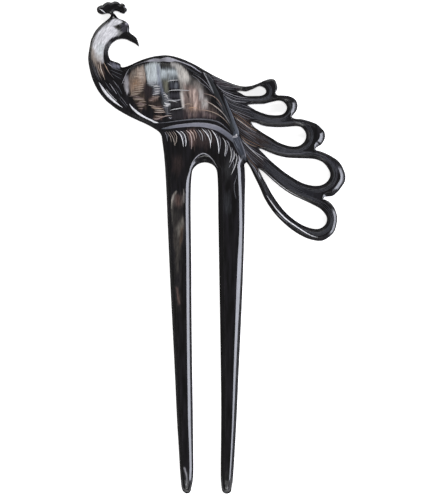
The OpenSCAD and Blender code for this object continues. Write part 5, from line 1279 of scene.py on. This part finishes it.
def lineTree(name, targets, material):
    # polylines become low rounded strips that follow the face below them
    tree = bpy.data.node_groups.new(name, "GeometryNodeTree")
    tree.interface.new_socket("Geometry", in_out="INPUT", socket_type="NodeSocketGeometry")
    for label in ("Height Share", "Lift", "End Width"):
        tree.interface.new_socket(label, in_out="INPUT", socket_type="NodeSocketFloat")
    tree.interface.new_socket("Geometry", in_out="OUTPUT", socket_type="NodeSocketGeometry")
    inputs = addNode(tree, "NodeGroupInput")
    below = addNode(tree, "GeometryNodeJoinGeometry")
    for target in targets:
        carved = addNode(tree, "GeometryNodeObjectInfo", {"transform_space": "RELATIVE", "Object": target})
        tree.links.new(carved.outputs["Geometry"], below.inputs["Geometry"])
    path = addNode(tree, "GeometryNodeMeshToCurve", links={"Mesh": inputs.outputs["Geometry"]})
    here = addNode(tree, "GeometryNodeInputPosition")
    above = addNode(tree, "ShaderNodeVectorMath", {"operation": "ADD", 1: (0, 0, lineShape["rayFrom"])},
                    {0: here.outputs["Position"]})
    ray = addNode(tree, "GeometryNodeRaycast",
                  {"Ray Direction": (0, 0, -1), "Ray Length": lineShape["rayReach"]},
                  {"Target Geometry": below.outputs["Geometry"], "Source Position": above.outputs["Vector"]})
    keep = addNode(tree, "GeometryNodeStoreNamedAttribute",
                   {"data_type": "FLOAT_VECTOR", "domain": "POINT", "Name": "faceNormal"},
                   {"Geometry": path.outputs["Curve"], "Value": ray.outputs["Hit Normal"]})
    raised = addNode(tree, "ShaderNodeVectorMath", {"operation": "SCALE"},
                     {0: ray.outputs["Hit Normal"], "Scale": inputs.outputs["Lift"]})
    landed = addNode(tree, "ShaderNodeVectorMath", {"operation": "ADD"},
                     {0: ray.outputs["Hit Position"], 1: raised.outputs["Vector"]})
    laid = addNode(tree, "GeometryNodeSetPosition", links={
        "Geometry": keep.outputs["Geometry"], "Selection": ray.outputs["Is Hit"],
        "Position": landed.outputs["Vector"]})
    # the strip's flat side turns with the face
    faceNormal = addNode(tree, "GeometryNodeInputNamedAttribute",
                         {"data_type": "FLOAT_VECTOR", "Name": "faceNormal"})
    evened = addNode(tree, "GeometryNodeBlurAttribute",
                     {"data_type": "FLOAT_VECTOR", "Iterations": lineShape["evenings"]},
                     {"Value": faceNormal.outputs["Attribute"]})
    tangent = addNode(tree, "GeometryNodeInputTangent")
    across = addNode(tree, "ShaderNodeVectorMath", {"operation": "CROSS_PRODUCT"},
                     {0: evened.outputs["Value"], 1: tangent.outputs["Tangent"]})
    turned = addNode(tree, "GeometryNodeSetCurveNormal", {"mode": "FREE"},
                     {"Curve": laid.outputs["Geometry"], "Normal": across.outputs["Vector"]})
    # widest in the middle, narrow at both ends, unless the path gives its own widths
    along = addNode(tree, "GeometryNodeSplineParameter")
    turn = addNode(tree, "ShaderNodeMath", {"operation": "MULTIPLY", 1: math.pi}, {0: along.outputs["Factor"]})
    wave = addNode(tree, "ShaderNodeMath", {"operation": "SINE"}, {0: turn.outputs["Value"]})
    softer = addNode(tree, "ShaderNodeMath", {"operation": "POWER", 1: lineShape["fullness"]},
                     {0: wave.outputs["Value"]})
    least = addNode(tree, "ShaderNodeMath", {"operation": "MAXIMUM"},
                    {0: softer.outputs["Value"], 1: inputs.outputs["End Width"]})
    drawn = addNode(tree, "GeometryNodeInputNamedAttribute", {"data_type": "FLOAT", "Name": "drawnWidth"})
    either = addNode(tree, "ShaderNodeMath", {"operation": "MAXIMUM"},
                     {0: least.outputs["Value"], 1: drawn.outputs["Attribute"]})
    wide = addNode(tree, "GeometryNodeInputNamedAttribute", {"data_type": "FLOAT", "Name": "halfWidth"})
    size = addNode(tree, "ShaderNodeMath", {"operation": "MULTIPLY"},
                   {0: wide.outputs["Attribute"], 1: either.outputs["Value"]})
    ring = addNode(tree, "GeometryNodeCurvePrimitiveCircle", {"Resolution": lineShape["sides"], "Radius": 1.0})
    share = addNode(tree, "ShaderNodeCombineXYZ", {"X": 1.0, "Z": 1.0}, {"Y": inputs.outputs["Height Share"]})
    section = addNode(tree, "GeometryNodeTransform",
                      links={"Geometry": ring.outputs["Curve"], "Scale": share.outputs["Vector"]})
    strip = addNode(tree, "GeometryNodeCurveToMesh", {"Fill Caps": True}, {
        "Curve": turned.outputs["Curve"], "Profile Curve": section.outputs["Geometry"],
        "Scale": size.outputs["Value"]})
    smooth = addNode(tree, "GeometryNodeSetShadeSmooth", links={"Geometry": strip.outputs["Mesh"]})
    real = addNode(tree, "GeometryNodeRealizeInstances", links={"Geometry": smooth.outputs["Geometry"]})
    dress = addNode(tree, "GeometryNodeSetMaterial", {"Material": material},
                    {"Geometry": real.outputs["Geometry"]})
    addNode(tree, "NodeGroupOutput", links={"Geometry": dress.outputs["Geometry"]})
    return tree


def layLines(name, lines, targets, material, heightShare, lift):
    points, edges, half, drawn, colours = [], [], [], [], []
    for path, width, tint in lines:
        path = smoothPath(path, lineShape["step"])
        held = np.array([insideRows(np.array([x]), y)[0] for x, y in path[:, :2]])
        path = path[held & (edgeDistance(path[:, :2]) > lineShape["clear"])]
        start = len(points)
        points += [(x * mm, y * mm, 0.0) for x, y in path[:, :2]]
        edges += [(start + i, start + i + 1) for i in range(len(path) - 1)]
        own = path.shape[1] == 3
        half += list(path[:, 2] / 2 * mm) if own else [width / 2 * mm] * len(path)
        drawn += [1.0 if own else 0.0] * len(path)
        stops = np.array([toLinear(tints.get(part, part)) for part in tint.split(">")])
        share = np.linspace(0, len(stops) - 1, len(path))
        channels = [np.interp(share, range(len(stops)), channel) for channel in stops.T]
        colours += list(np.column_stack(channels).ravel())
    mesh = bpy.data.meshes.new(name + "Paths")
    mesh.from_pydata(points, edges, [])
    mesh.attributes.new("halfWidth", "FLOAT", "POINT").data.foreach_set("value", half)
    mesh.attributes.new("drawnWidth", "FLOAT", "POINT").data.foreach_set("value", drawn)
    mesh.attributes.new("tint", "FLOAT_COLOR", "POINT").data.foreach_set("color", colours)
    source = bpy.data.objects.new(name + "Paths", mesh)
    bpy.context.scene.collection.objects.link(source)
    tree = lineTree(name, targets, material)
    modifier = source.modifiers.new(name, "NODES")
    modifier.node_group = tree
    values = {"Height Share": heightShare, "Lift": lift * mm, "End Width": lineShape["endWidth"]}
    for label, value in values.items():
        modifier[tree.interface.items_tree[label].identifier] = value
    depsgraph = bpy.context.evaluated_depsgraph_get()
    baked = bpy.data.meshes.new_from_object(source.evaluated_get(depsgraph), depsgraph=depsgraph)
    source.modifiers.remove(modifier)
    bpy.data.objects.remove(source)
    baked.name = name
    piece = bpy.data.objects.new(name, baked)
    bpy.context.scene.collection.objects.link(piece)
    print(name + ":", len(lines), "lines,", len(baked.polygons), "faces")
    return piece


# pale lines and dark ridges, as the strokes are given; the pale tints are painted highlights and painted sheen
# on the ridges
ribs = [
    # the rim over the wing, its painted highlight palest in the middle
    ([(-25.72, 26.11), (-23.97, 26.95), (-22.22, 27.58), (-20.12, 28.21)], 0.5, "#38383d>#5a5a60"),
    ([
        (-22.78, 27.37, 0.15), (-20.65, 28.07, 0.4), (-19.6, 28.28, 0.6), (-18.55, 28.45, 0.8),
        (-17.5, 28.59, 1), (-16.45, 28.52, 1.15), (-15.4, 28.49, 0.95), (-14.35, 28.7, 1.25),
        (-13.3, 28.77, 1.6), (-12.25, 28.7, 1.6), (-11.2, 28.59, 1.2), (-10.15, 28.49, 0.75),
        (-9.1, 28.21, 0.5), (-8.05, 27.86, 0.34), (-7, 27.51, 0.15)], 0,
     "#65646a>#78777e>#98979e>#88878d>#75747a>#98979e>#9a99a0>#98979e>#8a8991"),
    ([(-9.27, 27.51), (-7.17, 26.53), (-5.07, 25.27), (-2.97, 24.01), (-0.88, 22.82)], 0.6, "#26272c"),
    ([
        (-10.15, 28.59), (-9.1, 28.21), (-8.05, 27.86), (-7, 27.47), (-5.95, 27.09), (-4.9, 26.67),
        (-3.85, 26.04), (-2.8, 25.27), (-1.75, 24.53), (-0.52, 23.8)], 0.42, "#85848c>#a09fa8>#9b9aa3"),
    # the bar between wing and tail: a dark ridge with a painted highlight on each side of it
    ([
        (0.03, 24.29, 0.3), (1.22, 22.4, 1.2), (2.97, 19.25, 1.7), (4.58, 15.75, 1.8), (5.92, 12.95, 1.7),
        (7.17, 10.15, 1.5), (8.43, 7.35, 1.3), (9.62, 4.55, 1.1), (10.53, 2.45, 0.5)], 0, "#1f2124"),
    ([
        (6.41, 16.59, 0.2), (7.46, 13.79, 0.7), (8.43, 11.41, 0.95), (9.27, 9.31, 1.15), (9.97, 7.35, 1.3),
        (10.67, 5.46, 1.35), (11.44, 3.5, 1.2), (11.87, 2.45, 0.5)], 0, "#2b2d33>#545962"),
    # the band under the wing: greyer horn, made paler with painted sheen
    ([
        (-15.02, 4.55, 0.2), (-12.77, 4.9, 0.8), (-10.67, 5.32, 1.05), (-6.65, 5.81, 1.25),
        (-2.17, 6.02, 1.5), (1.22, 5.67, 1.75), (4.52, 4.72, 1.8), (6.76, 3.39, 1.75), (8.99, 1.68, 1.8),
        (10.67, 0.14, 1.6), (11.72, -1.05, 0.6)], 0, "#454a52>#70717b>#7e7e88>#7a7a84>#62646d>#585b64"),
    # the knot where the tail leaves the prong: blue-grey horn, its paler part painted sheen
    ([
        (10.47, 3.85, 0.5), (10.67, 2.59, 1.9), (11.17, 0.98, 2.8), (11.87, -0.84, 2.8),
        (12.71, -2.73, 2.4), (13.62, -4.69, 2), (14.52, -6.65, 0.6)], 0, "#353942"),
    ([
        (9.97, 2.31, 0.4), (10.32, 0.91, 1.3), (10.96, -0.91, 1.4), (11.79, -2.94, 1.1),
        (12.57, -4.9, 0.4)], 0, "#575a64>#4d505a"),
]

horn = polishedBuffaloHorn()
carvedHorn.data.materials.append(horn)
scrapedAndSheen = cutHornAndPaintedLight("scrapedHornAndSheen", roughness=0.32, dark=0.86, light=1.1)
gravedAndHighlights = cutHornAndPaintedLight("gravedHornAndHighlights", roughness=0.42, dark=0.72, light=1.08)
greyRibs = layLines("greyRibs", ribs, [carvedHorn], scrapedAndSheen, heightShare=0.26, lift=-0.02)
cutsAndHighlights = [line for group in strokes.values() for line in group]
paleCuts = layLines("paleCuts", cutsAndHighlights, [carvedHorn, greyRibs], gravedAndHighlights, heightShare=0.22, lift=0.01)

for piece in (carvedHorn, greyRibs, paleCuts):
    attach(piece, "root")
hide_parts("horn_fork")


# metres, flecks to a metre, and how brightly it is lit from below
sheet = {"half": 1.5, "tooth": 400.0, "glow": 0.80, "shades": ("#f1f0ee", "#f6f5f3")}


def paperFloor():
    # matt white sheet, faintly lit from below like a light table: even, nearly without shadows. Its
    # tooth is drawn at 2.5 mm, far coarser than paper's, so that it shows at all
    material, tree, shader = newMaterial("paperFloor")
    place = addNode(tree, "ShaderNodeTexCoord").outputs["Object"]
    tooth = addNode(tree, "ShaderNodeTexNoise", {"Scale": sheet["tooth"], "Detail": 2.0}, {"Vector": place})
    shade = addNode(tree, "ShaderNodeValToRGB", links={"Fac": tooth.outputs["Fac"]})
    for element, colour in zip(shade.color_ramp.elements, sheet["shades"]):
        element.color = toLinear(colour)
    tree.links.new(shade.outputs["Color"], shader.inputs["Base Color"])
    shader.inputs["Roughness"].default_value = 0.9
    shader.inputs["Emission Color"].default_value = toLinear("#ffffff")
    shader.inputs["Emission Strength"].default_value = sheet["glow"]
    return material


floorMesh = bpy.data.meshes.new("floor")
corners = [(x * sheet["half"], y * sheet["half"], 0) for x, y in ((-1, -1), (1, -1), (1, 1), (-1, 1))]
floorMesh.from_pydata(corners, [], [(0, 1, 2, 3)])
floor = bpy.data.objects.new("floor", floorMesh)
floorMesh.materials.append(paperFloor())
bpy.context.scene.collection.objects.link(floor)

# the camera looks straight down from its height above the face, and sees this much of the length
view = {
    "centre": (4.55 * mm, -36.9 * mm), "height": 0.80, "tall": 173.25 * mm, "face": 3.2 * mm,
    "sensor": 36.0,
}
cameraData = bpy.data.cameras.new("camera")
cameraData.sensor_width = view["sensor"]
cameraData.lens = view["sensor"] * view["height"] / view["tall"]
camera = bpy.data.objects.new("camera", cameraData)
camera.location = (*view["centre"], view["face"] + view["height"])
bpy.context.scene.collection.objects.link(camera)
bpy.context.scene.camera = camera

softboxes = {
    # degrees from straight up, degrees round from +X, distance, length and width in metres, brightness
    "strip": (63, -8, 0.7, 0.74, 0.22, 11.2),
    "above": (48, 90, 0.8, 0.7, 0.14, 8.0),
    "left": (48, 180, 0.8, 0.7, 0.14, 1.0),
    "front": (48, 270, 0.8, 0.7, 0.14, 7.8),
    "right": (48, 0, 0.8, 0.5, 0.14, 1.8),
}
aim = Vector((4 * mm, -30 * mm, 0))
for name, (tilt, turn, distance, length, width, power) in softboxes.items():
    data = bpy.data.lights.new(name, "AREA")
    data.shape = "RECTANGLE"
    data.size, data.size_y = length, width
    data.energy = power * math.pi * width * length
    data.color = toLinear("#eef1ff")[:3] if name == "strip" else (1, 1, 1)
    lamp = bpy.data.objects.new(name, data)
    a, b = math.radians(tilt), math.radians(turn)
    away = Vector((math.sin(a) * math.cos(b), math.sin(a) * math.sin(b), math.cos(a)))
    lamp.location = aim + away * distance
    lamp.rotation_euler = away.to_track_quat("Z", "Y").to_euler()
    bpy.context.scene.collection.objects.link(lamp)

world = bpy.data.worlds.new("studio")
world.use_nodes = True
world.node_tree.nodes["Background"].inputs["Color"].default_value = toLinear("#ffffff")
world.node_tree.nodes["Background"].inputs["Strength"].default_value = 0.15
bpy.context.scene.world = world
bpy.context.scene.view_settings.view_transform = "Standard"
print("camera, floor and", len(softboxes), "lights")
